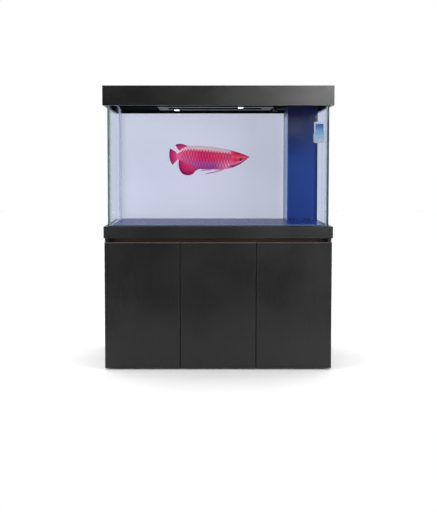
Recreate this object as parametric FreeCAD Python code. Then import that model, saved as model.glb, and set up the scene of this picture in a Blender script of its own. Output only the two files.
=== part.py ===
"""Aquarium on a cabinet stand: tank with a corner overflow, hood with a lamp, three-door cabinet and sump.

Millimetres, +Z up, the front faces -Y, and the origin is on the floor under the middle of the aquarium.
"""
import FreeCAD
import Part
import os

Vector = FreeCAD.Vector

# ---- driving dimensions -------------------------------------------------------------------
BOARD = 18.0            # thickness of the boards of the cabinet, the trim and the hood

# cabinet
CABINET_WIDTH = 1256.0
CABINET_BACK_Y = 323.0
GLIDE_HEIGHT = 5.0
GLIDE_RADIUS = 16.0
CARCASS_TOP = 715.5
PARTITION_DEPTH = 160.0
REAR_POST_DEPTH = 100.0
FINGER_SETBACK = 25.0   # how far the top board and the rails sit behind the carcass's front edge
RAIL_HEIGHT = 80.0
OUTLET_X, OUTLET_Z, OUTLET_RADIUS = 400.0, 600.0, 30.0

# doors
DOOR_FRONT_Y = -323.0
DOOR_GAP = 5.0
DOOR_BOTTOM, DOOR_TOP = 9.0, 710.0
DOOR_TO_CARCASS = 4.5
DOOR_TOP_BEVEL = 4.0
DOOR_EDGE_ROUND = 1.0

# concealed hinges, measured from the door's hinge edge (x) and front face (y)
HINGE_PIN = (9.0, 8.7)
HINGE_PIN_RADIUS = 1.0
HINGE_CUP_CENTRE = 22.0
HINGE_CUP_RADIUS = 17.5
HINGE_CUP_DEPTH = 12.6
HINGE_CUP_WALL = 0.8
HINGE_ARM_HALF_WIDTH = 5.0
HINGE_INSET = 100.0     # from the door's top and bottom edges

# trim band and tank deck
TRIM_WIDTH, TRIM_DEPTH = 1264.0, 654.0
TRIM_BOTTOM, TRIM_TOP = 733.5, 797.5
BATTEN_HEIGHT, BATTEN_WIDTH = 26.0, 40.0
FOAM = 10.0

# tank
TANK_LENGTH, TANK_WIDTH, TANK_HEIGHT = 1220.0, 610.0, 710.0
GLASS = 12.0
BRACE_WIDTH = 60.0
SEAM = 8.0
FLOOR_SHEET = 3.0
BACKDROP = 2.0

# overflow tower in the right rear corner
TOWER_LEFT, TOWER_FRONT = 420.0, 49.0
TOWER_TOP = 1493.5
TOWER_WALL = 8.0
INTAKE_HOLE_RADIUS = 6.5
INTAKE_HOLE_X = (437.0, 459.0, 524.0, 547.0)
INTAKE_HOLE_RISE = 15.0
WEIR_SLOTS, WEIR_SLOT_WIDTH, WEIR_SLOT_DEPTH = 14, 7.0, 65.0
WEIR_MARGIN = 10.0
TOWER_NOTCH_Z = 1470.5   # bottom of the notches for the spout and for the rear brace

# pipes
DRAIN_X, RETURN_X, PIPES_Y = 545.0, 465.0, 140.0
DRAIN_CUTOUT_RADIUS, RETURN_CUTOUT_RADIUS = 41.0, 32.0
DRAIN_RADIUS, DRAIN_WALL = 20.0, 3.0
RETURN_RADIUS, RETURN_WALL = 12.5, 2.5
SOCKET_PLAY = 0.1
STANDPIPE_TOP = 1416.5
SPOUT_Z, SPOUT_RADIUS, SPOUT_END_X = 1487.5, 15.0, 338.0
SPOUT_DROP, SPOUT_SOCKET, SPOUT_SOCKET_REACH = 24.0, 46.0, 30.0
RETURN_RUN_Z = 600.0
DRAIN_VALVE_Z = 560.0
RETURN_VALVE_X = 345.0
DRAIN_DIP = 14.0        # how far the drain pipe reaches below the sump's rim
VALVE_SEAT = 4.0        # gap between the two pipe ends inside a valve
ELBOW_ARM, ELBOW_SEAT = 34.0, 14.0

# bulkhead fittings: x, pipe radius, barrel radius, flange radius, nut radius
BULKHEADS = (
    (DRAIN_X, DRAIN_RADIUS, 24.0, 37.0, 36.0),
    (RETURN_X, RETURN_RADIUS, 16.0, 29.0, 27.0),
)
GASKET = 3.0
FLANGE_HEIGHT, NUT_HEIGHT = 7.0, 14.0
NUT_FLUTES, NUT_FLUTE_RADIUS = 8, 4.0

# strainer on the standpipe
STRAINER_RADIUS, STRAINER_HEIGHT, STRAINER_SOCKET, STRAINER_SLOTS = 25.0, 70.0, 25.0, 8

# hood
HOOD_WIDTH, HOOD_DEPTH = 1268.0, 658.0
HOOD_BOTTOM, HOOD_TOP = 1462.0, 1570.0
HOOD_LID = 12.0
HOOD_CLEAT_WIDTH = 30.0
HOOD_DECK_FRONT_Y = 111.0
LID_PLAY = 2.0
LID_FINGER_SLOT = 20.0
LEAF = 1.5
KNUCKLE_RADIUS, LID_PIN_RADIUS = 3.5, 1.5
LID_HINGE_HALF = 30.0

# lamp
LAMP_LEFT, LAMP_RIGHT = -344.0, 322.0
LAMP_END = 56.0
LAMP_BAR_Y = (-80.0, 105.0)
LAMP_BAR_WIDTH, LAMP_BAR_HEIGHT = 46.0, 24.0
LAMP_LENS = 3.0
LAMP_BOTTOM = 1469.5

# thermometer on the outside of the front glass
METER_LEFT, METER_RIGHT = 527.0, 582.0
METER_BOTTOM, METER_TOP = 1258.0, 1373.0
METER_THICK = 12.0
SCREEN_LEFT, SCREEN_RIGHT, SCREEN_BOTTOM, SCREEN_TOP = 533.5, 577.0, 1277.5, 1361.5
METER_CORNER, METER_FOOT_STEP = 6.0, 3.5

# sump
SUMP_LEFT, SUMP_RIGHT = -330.0, 585.0
SUMP_FRONT, SUMP_BACK = -125.0, 195.0
SUMP_HEIGHT, SUMP_GLASS = 380.0, 6.0
TRAY_LEFT = 340.0
TRAY_DEPTH, TRAY_WALL, TRAY_HOLE_RADIUS = 78.0, 4.0, 5.0
WOOL_DROP = 28.0
SUMP_BAFFLES = ((-110.0, 6.0, 260.0), (-60.0, 60.0, 320.0), (330.0, 6.0, 300.0))    # x, bottom, top
PUMP_X = -215.0
PUMP_CHAMBER_RADIUS, PUMP_COVER, PUMP_GRILLE = 34.0, 18.0, 3.0
SHAFT_RADIUS, SHAFT_BORE = 2.5, 2.55

# fish
FISH_Y, FISH_Z = -20.0, 1178.5
FIN_THICKNESS = 4.0

# ---- derived levels -----------------------------------------------------------------------
HALF_CABINET = CABINET_WIDTH / 2
CARCASS_FRONT_Y = DOOR_FRONT_Y + BOARD + DOOR_TO_CARCASS
DOOR_WIDTH = (CABINET_WIDTH - 2 * DOOR_GAP) / 3
PARTITION_X = DOOR_WIDTH / 2 + DOOR_GAP / 2
DECK_BOTTOM = TRIM_BOTTOM + BATTEN_HEIGHT
DECK_TOP = DECK_BOTTOM + BOARD
TANK_BOTTOM = DECK_TOP + FOAM
TANK_FLOOR = TANK_BOTTOM + GLASS
TANK_TOP = TANK_BOTTOM + TANK_HEIGHT
TANK_X, TANK_Y = TANK_LENGTH / 2, TANK_WIDTH / 2
FITTING_FOOT = TANK_BOTTOM - 39.0
PIPE_STOP = TANK_BOTTOM - 12.0
PIPE_STOP_THICKNESS = 3.0
INNER_X, INNER_Y = TANK_X - GLASS, TANK_Y - GLASS


# ---- helpers ------------------------------------------------------------------------------
def box(x0, x1, y0, y1, z0, z1):
    """A block between two corners."""
    return Part.makeBox(x1 - x0, y1 - y0, z1 - z0, Vector(x0, y0, z0))


def rod(radius, start, direction, length):
    """A cylinder from start, along direction."""
    return Part.makeCylinder(radius, length, Vector(*start), Vector(*direction))


def tube(outer, inner, start, direction, length):
    """A straight pipe."""
    return rod(outer, start, direction, length).cut(rod(inner, start, direction, length))


def prism(points, direction, length):
    """A closed outline of points, extruded along direction."""
    wire = Part.makePolygon([Vector(*p) for p in points] + [Vector(*points[0])])
    return Part.Face(wire).extrude(Vector(*direction) * length)


def fused(first, *others):
    """One solid from touching or overlapping shapes."""
    return first.fuse(list(others)).removeSplitter()


def mirrored_x(shape):
    """The same piece on the other side of the middle plane."""
    return shape.mirror(Vector(0, 0, 0), Vector(1, 0, 0))


def edges_where(shape, test):
    """The straight edges whose two ends both pass a test."""
    return [e for e in shape.Edges if len(e.Vertexes) == 2 and all(test(v.Point) for v in e.Vertexes)]


def export(name, *solids):
    """Writes one sub-part, made of one or more separate solids."""
    shape = solids[0] if len(solids) == 1 else Part.makeCompound(list(solids))
    for solid in shape.Solids:
        if not solid.isValid() or solid.Volume <= 0:
            raise RuntimeError(name + " has a solid that isn't valid")
    shape.exportStep(os.path.join("parts", name + ".step"))
    print(name, len(shape.Solids), round(shape.Volume / 1000.0, 1), "cm3")


# ---- tank ---------------------------------------------------------------------------------
def tank_glass():
    """Bottom pane with the two pipe holes, and the four walls that stand on it."""
    bottom = box(-TANK_X, TANK_X, -TANK_Y, TANK_Y, TANK_BOTTOM, TANK_FLOOR)
    for x, _, barrel, _, _ in BULKHEADS:
        bottom = bottom.cut(rod(barrel + 1.0, (x, PIPES_Y, TANK_BOTTOM), (0, 0, 1), GLASS))
    export("tank_bottom_glass", bottom)
    export("tank_front_glass", box(-TANK_X, TANK_X, -TANK_Y, -INNER_Y, TANK_FLOOR, TANK_TOP))
    export("tank_back_glass", box(-TANK_X, TANK_X, INNER_Y, TANK_Y, TANK_FLOOR, TANK_TOP))
    side = box(INNER_X, TANK_X, -INNER_Y, INNER_Y, TANK_FLOOR, TANK_TOP)
    export("tank_side_glass", side, mirrored_x(side))
    braces = [
        box(-INNER_X, INNER_X, -INNER_Y, -INNER_Y + BRACE_WIDTH, TANK_TOP - GLASS, TANK_TOP),
        box(-INNER_X, INNER_X, INNER_Y - BRACE_WIDTH, INNER_Y, TANK_TOP - GLASS, TANK_TOP),
    ]
    export("tank_top_braces", *braces)


def silicone_seams():
    """Triangular beads in the inner corners: four upright, and along the bottom clear of the tower."""
    beads = []
    brace_bottom = TANK_TOP - GLASS
    for sx in (-1, 1):
        for sy in (-1, 1):
            if (sx, sy) == (1, 1):
                continue
            x, y = sx * INNER_X, sy * INNER_Y
            corner = [(x, y, TANK_FLOOR), (x - sx * SEAM, y, TANK_FLOOR), (x, y - sy * SEAM, TANK_FLOOR)]
            beads.append(prism(corner, (0, 0, 1), brace_bottom - TANK_FLOOR))
    runs_x = ((-1, -INNER_X + SEAM, INNER_X - SEAM), (1, -INNER_X + SEAM, TOWER_LEFT - 1.0))
    for sy, x0, x1 in runs_x:
        y = sy * INNER_Y
        profile = [(x0, y, TANK_FLOOR), (x0, y - sy * SEAM, TANK_FLOOR), (x0, y, TANK_FLOOR + SEAM)]
        beads.append(prism(profile, (1, 0, 0), x1 - x0))
    runs_y = ((-1, -INNER_Y + SEAM, INNER_Y - SEAM), (1, -INNER_Y + SEAM, TOWER_FRONT - 1.0))
    for sx, y0, y1 in runs_y:
        x = sx * INNER_X
        profile = [(x, y0, TANK_FLOOR), (x - sx * SEAM, y0, TANK_FLOOR), (x, y0, TANK_FLOOR + SEAM)]
        beads.append(prism(profile, (0, 1, 0), y1 - y0))
    export("silicone_seams", *beads)


def tank_linings():
    """The blue sheet on the tank's floor, and the pale backdrop behind the back pane."""
    margin = SEAM + 1.0
    x, y = INNER_X - margin, INNER_Y - margin
    sheet = box(-x, x, -y, y, TANK_FLOOR, TANK_FLOOR + FLOOR_SHEET)
    notch = box(TOWER_LEFT - margin, x, TOWER_FRONT - margin, y, TANK_FLOOR, TANK_FLOOR + FLOOR_SHEET)
    export("tank_floor_sheet", sheet.cut(notch))
    backdrop = box(-TANK_X, TANK_X, TANK_Y, TANK_Y + BACKDROP, TRIM_TOP + 1.0, HOOD_BOTTOM - 1.0)
    export("backdrop_panel", backdrop)


def overflow_tower():
    """Two panels that wall off the corner: intake holes at the bottom, a weir comb at the top."""
    front = box(TOWER_LEFT, INNER_X, TOWER_FRONT, TOWER_FRONT + TOWER_WALL, TANK_FLOOR, TOWER_TOP)
    for x in INTAKE_HOLE_X:
        start = (x, TOWER_FRONT, TANK_FLOOR + INTAKE_HOLE_RISE)
        front = front.cut(rod(INTAKE_HOLE_RADIUS, start, (0, 1, 0), TOWER_WALL))
    y0, y1 = TOWER_FRONT + TOWER_WALL, INNER_Y
    x0, x1 = TOWER_LEFT, TOWER_LEFT + TOWER_WALL
    side = box(x0, x1, y0, y1, TANK_FLOOR, TOWER_TOP)
    pitch = (y1 - y0 - 2 * WEIR_MARGIN) / WEIR_SLOTS
    for i in range(WEIR_SLOTS):
        slot_y = y0 + WEIR_MARGIN + pitch * (i + 0.5) - WEIR_SLOT_WIDTH / 2
        side = side.cut(box(x0, x1, slot_y, slot_y + WEIR_SLOT_WIDTH, TOWER_TOP - WEIR_SLOT_DEPTH, TOWER_TOP))
    spout_half = SPOUT_RADIUS + 3.0
    side = side.cut(box(x0, x1, PIPES_Y - spout_half, PIPES_Y + spout_half, TOWER_NOTCH_Z, TOWER_TOP))
    side = side.cut(box(x0, x1, INNER_Y - BRACE_WIDTH - 2.0, y1, TOWER_NOTCH_Z, TOWER_TOP))
    export("overflow_panels", front, side)


def bulkheads():
    """Flanged fittings through the bottom pane, with their gaskets and nuts."""
    bodies, nuts, gaskets = [], [], []
    up = (0, 0, 1)
    flange_z = TANK_FLOOR + GASKET
    nut_z = TANK_BOTTOM - GASKET - NUT_HEIGHT
    for x, pipe, barrel, flange, nut in BULKHEADS:
        foot = (x, PIPES_Y, FITTING_FOOT)
        disc = rod(flange, (x, PIPES_Y, flange_z), up, FLANGE_HEIGHT)
        body = fused(rod(barrel, foot, up, flange_z - FITTING_FOOT), disc)
        body = body.cut(rod(pipe + SOCKET_PLAY, foot, up, flange_z + FLANGE_HEIGHT - FITTING_FOOT))
        ledge = PIPE_STOP_THICKNESS
        stop = tube(pipe + SOCKET_PLAY, pipe - ledge, (x, PIPES_Y, PIPE_STOP), up, ledge)
        bodies.append(fused(body, stop))
        gaskets.append(tube(flange - 1.0, barrel, (x, PIPES_Y, TANK_FLOOR), up, GASKET))
        gaskets.append(tube(nut - 1.0, barrel, (x, PIPES_Y, TANK_BOTTOM - GASKET), up, GASKET))
        ring = tube(nut, barrel, (x, PIPES_Y, nut_z), up, NUT_HEIGHT)
        for i in range(NUT_FLUTES):
            turn = FreeCAD.Rotation(Vector(0, 0, 1), 360.0 / NUT_FLUTES * i)
            spot = turn.multVec(Vector(nut, 0, 0)) + Vector(x, PIPES_Y, nut_z)
            ring = ring.cut(rod(NUT_FLUTE_RADIUS, spot, up, NUT_HEIGHT))
        nuts.append(ring)
    export("bulkhead_fittings", *bodies)
    export("bulkhead_nuts", *nuts)
    export("bulkhead_gaskets", *gaskets)


def tower_pipes():
    """Standpipe with its slotted strainer, and the return riser with the spout over the tower's wall."""
    rest_z = PIPE_STOP + PIPE_STOP_THICKNESS
    foot = (DRAIN_X, PIPES_Y, rest_z)
    inner = DRAIN_RADIUS - DRAIN_WALL
    export("drain_standpipe", tube(DRAIN_RADIUS, inner, foot, (0, 0, 1), STANDPIPE_TOP - rest_z))
    base = (DRAIN_X, PIPES_Y, STANDPIPE_TOP - STRAINER_SOCKET)
    socket = rod(DRAIN_RADIUS + SOCKET_PLAY, base, (0, 0, 1), STRAINER_HEIGHT - 4.0)
    cap = rod(STRAINER_RADIUS, base, (0, 0, 1), STRAINER_HEIGHT).cut(socket)
    for i in range(STRAINER_SLOTS):
        slot = box(DRAIN_X - 2.0, DRAIN_X + 2.0, PIPES_Y + 10.0, PIPES_Y + 30.0,
                   STANDPIPE_TOP + 4.0, STANDPIPE_TOP + 36.0)
        slot.rotate(Vector(DRAIN_X, PIPES_Y, 0), Vector(0, 0, 1), 360.0 / STRAINER_SLOTS * i)
        cap = cap.cut(slot)
    export("drain_strainer", cap)

    riser = tube(RETURN_RADIUS, RETURN_RADIUS - RETURN_WALL, (RETURN_X, PIPES_Y, rest_z), (0, 0, 1),
                 SPOUT_Z - SPOUT_SOCKET_REACH - rest_z)
    elbow_foot = (RETURN_X, PIPES_Y, SPOUT_Z - SPOUT_SOCKET)
    bend_x = SPOUT_END_X + SPOUT_RADIUS
    run = RETURN_X - bend_x

    def passage(elbow_radius, elbow_drop, radius):
        """The spout's path: up the elbow, across, and down to its mouth."""
        return fused(
            rod(elbow_radius, (RETURN_X, PIPES_Y, SPOUT_Z - elbow_drop), (0, 0, 1), elbow_drop),
            Part.makeSphere(elbow_radius, Vector(RETURN_X, PIPES_Y, SPOUT_Z)),
            rod(radius, (bend_x, PIPES_Y, SPOUT_Z), (1, 0, 0), run),
            Part.makeSphere(radius, Vector(bend_x, PIPES_Y, SPOUT_Z)),
            rod(radius, (bend_x, PIPES_Y, SPOUT_Z - SPOUT_DROP), (0, 0, 1), SPOUT_DROP),
        )

    outer = passage(SPOUT_RADIUS + 1.5, SPOUT_SOCKET, SPOUT_RADIUS)
    bore = RETURN_RADIUS - RETURN_WALL
    socket = rod(RETURN_RADIUS + SOCKET_PLAY, elbow_foot, (0, 0, 1), SPOUT_SOCKET - SPOUT_SOCKET_REACH)
    inner = fused(passage(bore, SPOUT_SOCKET_REACH + 1.0, bore), socket)
    export("return_riser", riser)
    export("return_spout", outer.cut(inner))


def thermometer():
    """Stick-on thermometer: a housing with a wider foot, and its display."""
    back_y = -TANK_Y
    front_y = back_y - METER_THICK
    housing = box(METER_LEFT, METER_RIGHT, front_y, back_y, METER_BOTTOM, METER_TOP)
    corner_edges = [e for e in housing.Edges
                    if abs(e.Vertexes[0].Point.y - e.Vertexes[1].Point.y) > METER_THICK - 1.0]
    housing = housing.makeFillet(METER_CORNER, corner_edges)
    foot = box(METER_LEFT - METER_FOOT_STEP, METER_LEFT + 12.0, front_y + 2.0, back_y,
               METER_BOTTOM + 4.0, METER_BOTTOM + 50.0)
    recess = box(SCREEN_LEFT, SCREEN_RIGHT, front_y, front_y + 3.0, SCREEN_BOTTOM, SCREEN_TOP)
    export("thermometer_housing", fused(housing, foot).cut(recess))
    export("thermometer_screen", box(SCREEN_LEFT + 0.2, SCREEN_RIGHT - 0.2, front_y + 1.0, front_y + 3.0,
                                     SCREEN_BOTTOM + 0.2, SCREEN_TOP - 0.2))


# ---- cabinet ------------------------------------------------------------------------------
def with_pipe_holes(board, z0, z1):
    """A board under the tank, with round holes that clear both bulkheads."""
    for x, radius in ((DRAIN_X, DRAIN_CUTOUT_RADIUS), (RETURN_X, RETURN_CUTOUT_RADIUS)):
        board = board.cut(rod(radius, (x, PIPES_Y, z0), (0, 0, 1), z1 - z0))
    return board


def deck():
    """Trim band, battens, deck board and foam mat, which carry the tank."""
    x, y = TRIM_WIDTH / 2, TRIM_DEPTH / 2
    front = box(-x, x, -y, -y + BOARD, TRIM_BOTTOM, TRIM_TOP)
    back = box(-x, x, y - BOARD, y, TRIM_BOTTOM, TRIM_TOP)
    side = box(x - BOARD, x, -y + BOARD, y - BOARD, TRIM_BOTTOM, TRIM_TOP)
    export("trim_long_boards", front, back)
    export("trim_side_boards", side, mirrored_x(side))
    ix, iy = x - BOARD, y - BOARD
    battens = [
        box(-ix, ix, -iy, -iy + BATTEN_WIDTH, TRIM_BOTTOM, DECK_BOTTOM),
        box(-ix, ix, iy - BATTEN_WIDTH, iy, TRIM_BOTTOM, DECK_BOTTOM),
    ]
    for middle in (-ix + BATTEN_WIDTH / 2, -PARTITION_X, PARTITION_X, ix - BATTEN_WIDTH / 2):
        battens.append(box(middle - BATTEN_WIDTH / 2, middle + BATTEN_WIDTH / 2,
                           -iy + BATTEN_WIDTH, iy - BATTEN_WIDTH, TRIM_BOTTOM, DECK_BOTTOM))
    export("deck_battens", *battens)
    board = box(-ix, ix, -iy, iy, DECK_BOTTOM, DECK_TOP)
    export("deck_board", with_pipe_holes(board, DECK_BOTTOM, DECK_TOP))
    mat = box(-TANK_X, TANK_X, -TANK_Y, TANK_Y, DECK_TOP, TANK_BOTTOM)
    export("foam_mat", with_pipe_holes(mat, DECK_TOP, TANK_BOTTOM))


def carcass():
    """Sides, bottom, top, back, dividers and rails of the cabinet, and the glides it stands on."""
    inner = HALF_CABINET - BOARD
    floor_top = GLIDE_HEIGHT + BOARD
    side = box(inner, HALF_CABINET, CARCASS_FRONT_Y, CABINET_BACK_Y, GLIDE_HEIGHT, CARCASS_TOP + BOARD)
    export("cabinet_side_panels", side, mirrored_x(side))
    export("cabinet_bottom_board", box(-inner, inner, CARCASS_FRONT_Y, CABINET_BACK_Y - BOARD,
                                       GLIDE_HEIGHT, floor_top))
    top = box(-inner, inner, CARCASS_FRONT_Y + FINGER_SETBACK, CABINET_BACK_Y,
              CARCASS_TOP, CARCASS_TOP + BOARD)
    export("cabinet_top_board", with_pipe_holes(top, CARCASS_TOP, CARCASS_TOP + BOARD))
    back = box(-inner, inner, CABINET_BACK_Y - BOARD, CABINET_BACK_Y, GLIDE_HEIGHT, CARCASS_TOP)
    for x in (-OUTLET_X, OUTLET_X):
        back = back.cut(rod(OUTLET_RADIUS, (x, CABINET_BACK_Y - BOARD, OUTLET_Z), (0, 1, 0), BOARD))
    export("cabinet_back_panel", back)
    front_divider = box(PARTITION_X - BOARD / 2, PARTITION_X + BOARD / 2, CARCASS_FRONT_Y,
                        CARCASS_FRONT_Y + PARTITION_DEPTH, floor_top, CARCASS_TOP)
    notch = box(PARTITION_X - BOARD, PARTITION_X + BOARD, CARCASS_FRONT_Y, CARCASS_FRONT_Y + FINGER_SETBACK,
                CARCASS_TOP - 10.0, CARCASS_TOP)
    front_divider = front_divider.cut(notch)
    rear_post = box(PARTITION_X - BOARD / 2, PARTITION_X + BOARD / 2,
                    CABINET_BACK_Y - BOARD - REAR_POST_DEPTH, CABINET_BACK_Y - BOARD, floor_top, CARCASS_TOP)
    export("cabinet_dividers", front_divider, mirrored_x(front_divider), rear_post, mirrored_x(rear_post))
    rail_y = CARCASS_FRONT_Y + FINGER_SETBACK
    spans = ((-inner, -PARTITION_X - BOARD / 2), (-PARTITION_X + BOARD / 2, PARTITION_X - BOARD / 2),
             (PARTITION_X + BOARD / 2, inner))
    export("front_rails", *[box(x0, x1, rail_y, rail_y + BOARD, CARCASS_TOP - RAIL_HEIGHT, CARCASS_TOP)
                            for x0, x1 in spans])
    glides = []
    for x in (-HALF_CABINET + 22.0, -PARTITION_X, PARTITION_X, HALF_CABINET - 22.0):
        for y in (CARCASS_FRONT_Y + 30.0, 10.0, CABINET_BACK_Y - 30.0):
            disc = rod(GLIDE_RADIUS, (x, y, 0), (0, 0, 1), GLIDE_HEIGHT)
            rim = [e for e in disc.Edges if len(e.Vertexes) == 1 and abs(e.Vertexes[0].Point.z) < 0.1]
            glides.append(disc.makeChamfer(1.5, rim))
    export("floor_glides", *glides)


# ---- doors --------------------------------------------------------------------------------
DOORS = {
    # name: (x of the hinge edge, +1 where the door reaches to the right of it, carcass face behind the hinge)
    "left": (-HALF_CABINET, 1, BOARD),
    "centre": (-DOOR_WIDTH / 2, 1, BOARD / 2 - DOOR_GAP / 2),
    "right": (HALF_CABINET, -1, BOARD),
}
HINGE_HEIGHTS = (DOOR_BOTTOM + HINGE_INSET, DOOR_TOP - HINGE_INSET)


def place_hinge(shape, edge_x, side, z):
    """Puts a hinge piece, drawn at the left door edge of a door at the origin, where it belongs."""
    placed = shape.copy() if side > 0 else mirrored_x(shape)
    placed.translate(Vector(edge_x, DOOR_FRONT_Y, z))
    return placed


def hinge_cup():
    """A pressed cup with its flange, and the pin that the arm turns on."""
    bottom_y = BOARD - HINGE_CUP_DEPTH
    cup = rod(HINGE_CUP_RADIUS, (HINGE_CUP_CENTRE, bottom_y, 0), (0, 1, 0), HINGE_CUP_DEPTH)
    flange = box(HINGE_CUP_CENTRE - 12.0, HINGE_CUP_CENTRE + 6.0, BOARD, BOARD + 1.0, -27.0, 27.0)
    rim = rod(HINGE_CUP_RADIUS + 1.5, (HINGE_CUP_CENTRE, BOARD, 0), (0, 1, 0), 1.0)
    cavity = rod(HINGE_CUP_RADIUS - HINGE_CUP_WALL, (HINGE_CUP_CENTRE, bottom_y + HINGE_CUP_WALL, 0),
                 (0, 1, 0), HINGE_CUP_DEPTH + 5.0)
    shell = fused(cup, flange, rim).cut(cavity)
    for z in (-22.0, 22.0):
        shell = fused(shell, rod(3.5, (HINGE_CUP_CENTRE - 3.0, BOARD + 1.0, z), (0, 1, 0), 1.2))
    pin = rod(HINGE_PIN_RADIUS, (HINGE_PIN[0], HINGE_PIN[1], -10.8), (0, 0, 1), 21.6)
    return fused(shell, pin)


def hinge_arm(face):
    """The hooked arm and its plate. face is how far the carcass's face is from the door's hinge edge."""
    pin_x, pin_y = HINGE_PIN
    half = HINGE_ARM_HALF_WIDTH
    hook = [(pin_x, pin_y - 2.2), (25.5, pin_y - 2.2), (27.5, pin_y - 0.2), (27.5, 27.0), (face + 12.0, 36.0),
            (face + 12.0, 86.0), (face + 3.5, 86.0), (face + 3.5, 34.0), (24.0, 25.0), (24.0, 11.5),
            (23.0, pin_y + 1.8), (pin_x, pin_y + 1.8)]
    arm = prism([(x, y, -half) for x, y in hook], (0, 0, 1), 2 * half)
    knuckle = rod(2.2, (pin_x, pin_y, -half), (0, 0, 1), 2 * half)
    plate = box(face, face + 3.5, 44.0, 82.0, -24.0, 24.0)
    arm = fused(arm, knuckle, plate)
    for z in (-17.0, 17.0):
        arm = fused(arm, rod(4.0, (face + 3.5, 58.0, z), (1, 0, 0), 2.0))
    for y in (50.0, 74.0):
        arm = fused(arm, rod(3.0, (face + 12.0, y, 0), (1, 0, 0), 1.5))
    return arm.cut(rod(HINGE_PIN_RADIUS + 0.05, (pin_x, pin_y, -half), (0, 0, 1), 2 * half))


def doors():
    """Three lay-on doors, each with two hinge cups, and the hinge arms on the carcass."""
    arms = []
    cup = hinge_cup()
    for name, (edge_x, side, face) in DOORS.items():
        x0, x1 = sorted((edge_x, edge_x + side * DOOR_WIDTH))
        panel = box(x0, x1, DOOR_FRONT_Y, DOOR_FRONT_Y + BOARD, DOOR_BOTTOM, DOOR_TOP)
        top_edge = edges_where(panel, lambda p: abs(p.y - DOOR_FRONT_Y) < 0.1 and abs(p.z - DOOR_TOP) < 0.1)
        panel = panel.makeChamfer(DOOR_TOP_BEVEL, top_edge)
        for x in (x0, x1):
            upright = edges_where(panel, lambda p, x=x: abs(p.x - x) < 0.1 and abs(p.y - DOOR_FRONT_Y) < 0.1)
            panel = panel.makeFillet(DOOR_EDGE_ROUND, upright)
        cups = []
        for z in HINGE_HEIGHTS:
            bore = rod(HINGE_CUP_RADIUS + 0.1, (HINGE_CUP_CENTRE, BOARD - HINGE_CUP_DEPTH - 0.2, 0),
                       (0, 1, 0), HINGE_CUP_DEPTH + 0.2)
            panel = panel.cut(place_hinge(bore, edge_x, side, z))
            cups.append(place_hinge(cup, edge_x, side, z))
            arms.append(place_hinge(hinge_arm(face), edge_x, side, z))
        export("door_" + name, panel)
        export("door_" + name + "_hinge_cups", *cups)
    export("hinge_arms", *arms)


# ---- hood ---------------------------------------------------------------------------------
def hood_shell():
    """Four boards, the cleats that rest on the tank's rim, and the fixed parts of the top."""
    x, y = HOOD_WIDTH / 2, HOOD_DEPTH / 2
    ix, iy = x - BOARD, y - BOARD
    side = box(ix, x, -iy, iy, HOOD_BOTTOM, HOOD_TOP)
    export("hood_boards", box(-x, x, -y, -iy, HOOD_BOTTOM, HOOD_TOP),
           box(-x, x, iy, y, HOOD_BOTTOM, HOOD_TOP), side, mirrored_x(side))
    cleat_top = TANK_TOP + BOARD
    side_cleat = box(ix - HOOD_CLEAT_WIDTH, ix, -iy, iy, TANK_TOP, cleat_top)
    long_x = ix - HOOD_CLEAT_WIDTH
    lid_bottom = HOOD_TOP - HOOD_LID
    export("hood_rear_deck", box(-ix, ix, HOOD_DECK_FRONT_Y, iy, lid_bottom, HOOD_TOP))
    ledge = box(ix - 15.0, ix, -iy, HOOD_DECK_FRONT_Y, lid_bottom - 12.0, lid_bottom)
    centre = box(-20.0, 20.0, -iy, HOOD_DECK_FRONT_Y, lid_bottom - 12.0, lid_bottom)
    export("hood_cleats", side_cleat, mirrored_x(side_cleat),
           box(-long_x, long_x, -iy, -iy + HOOD_CLEAT_WIDTH, TANK_TOP, cleat_top),
           box(-long_x, long_x, iy - HOOD_CLEAT_WIDTH, iy, TANK_TOP, cleat_top),
           ledge, mirrored_x(ledge), centre)


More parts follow.
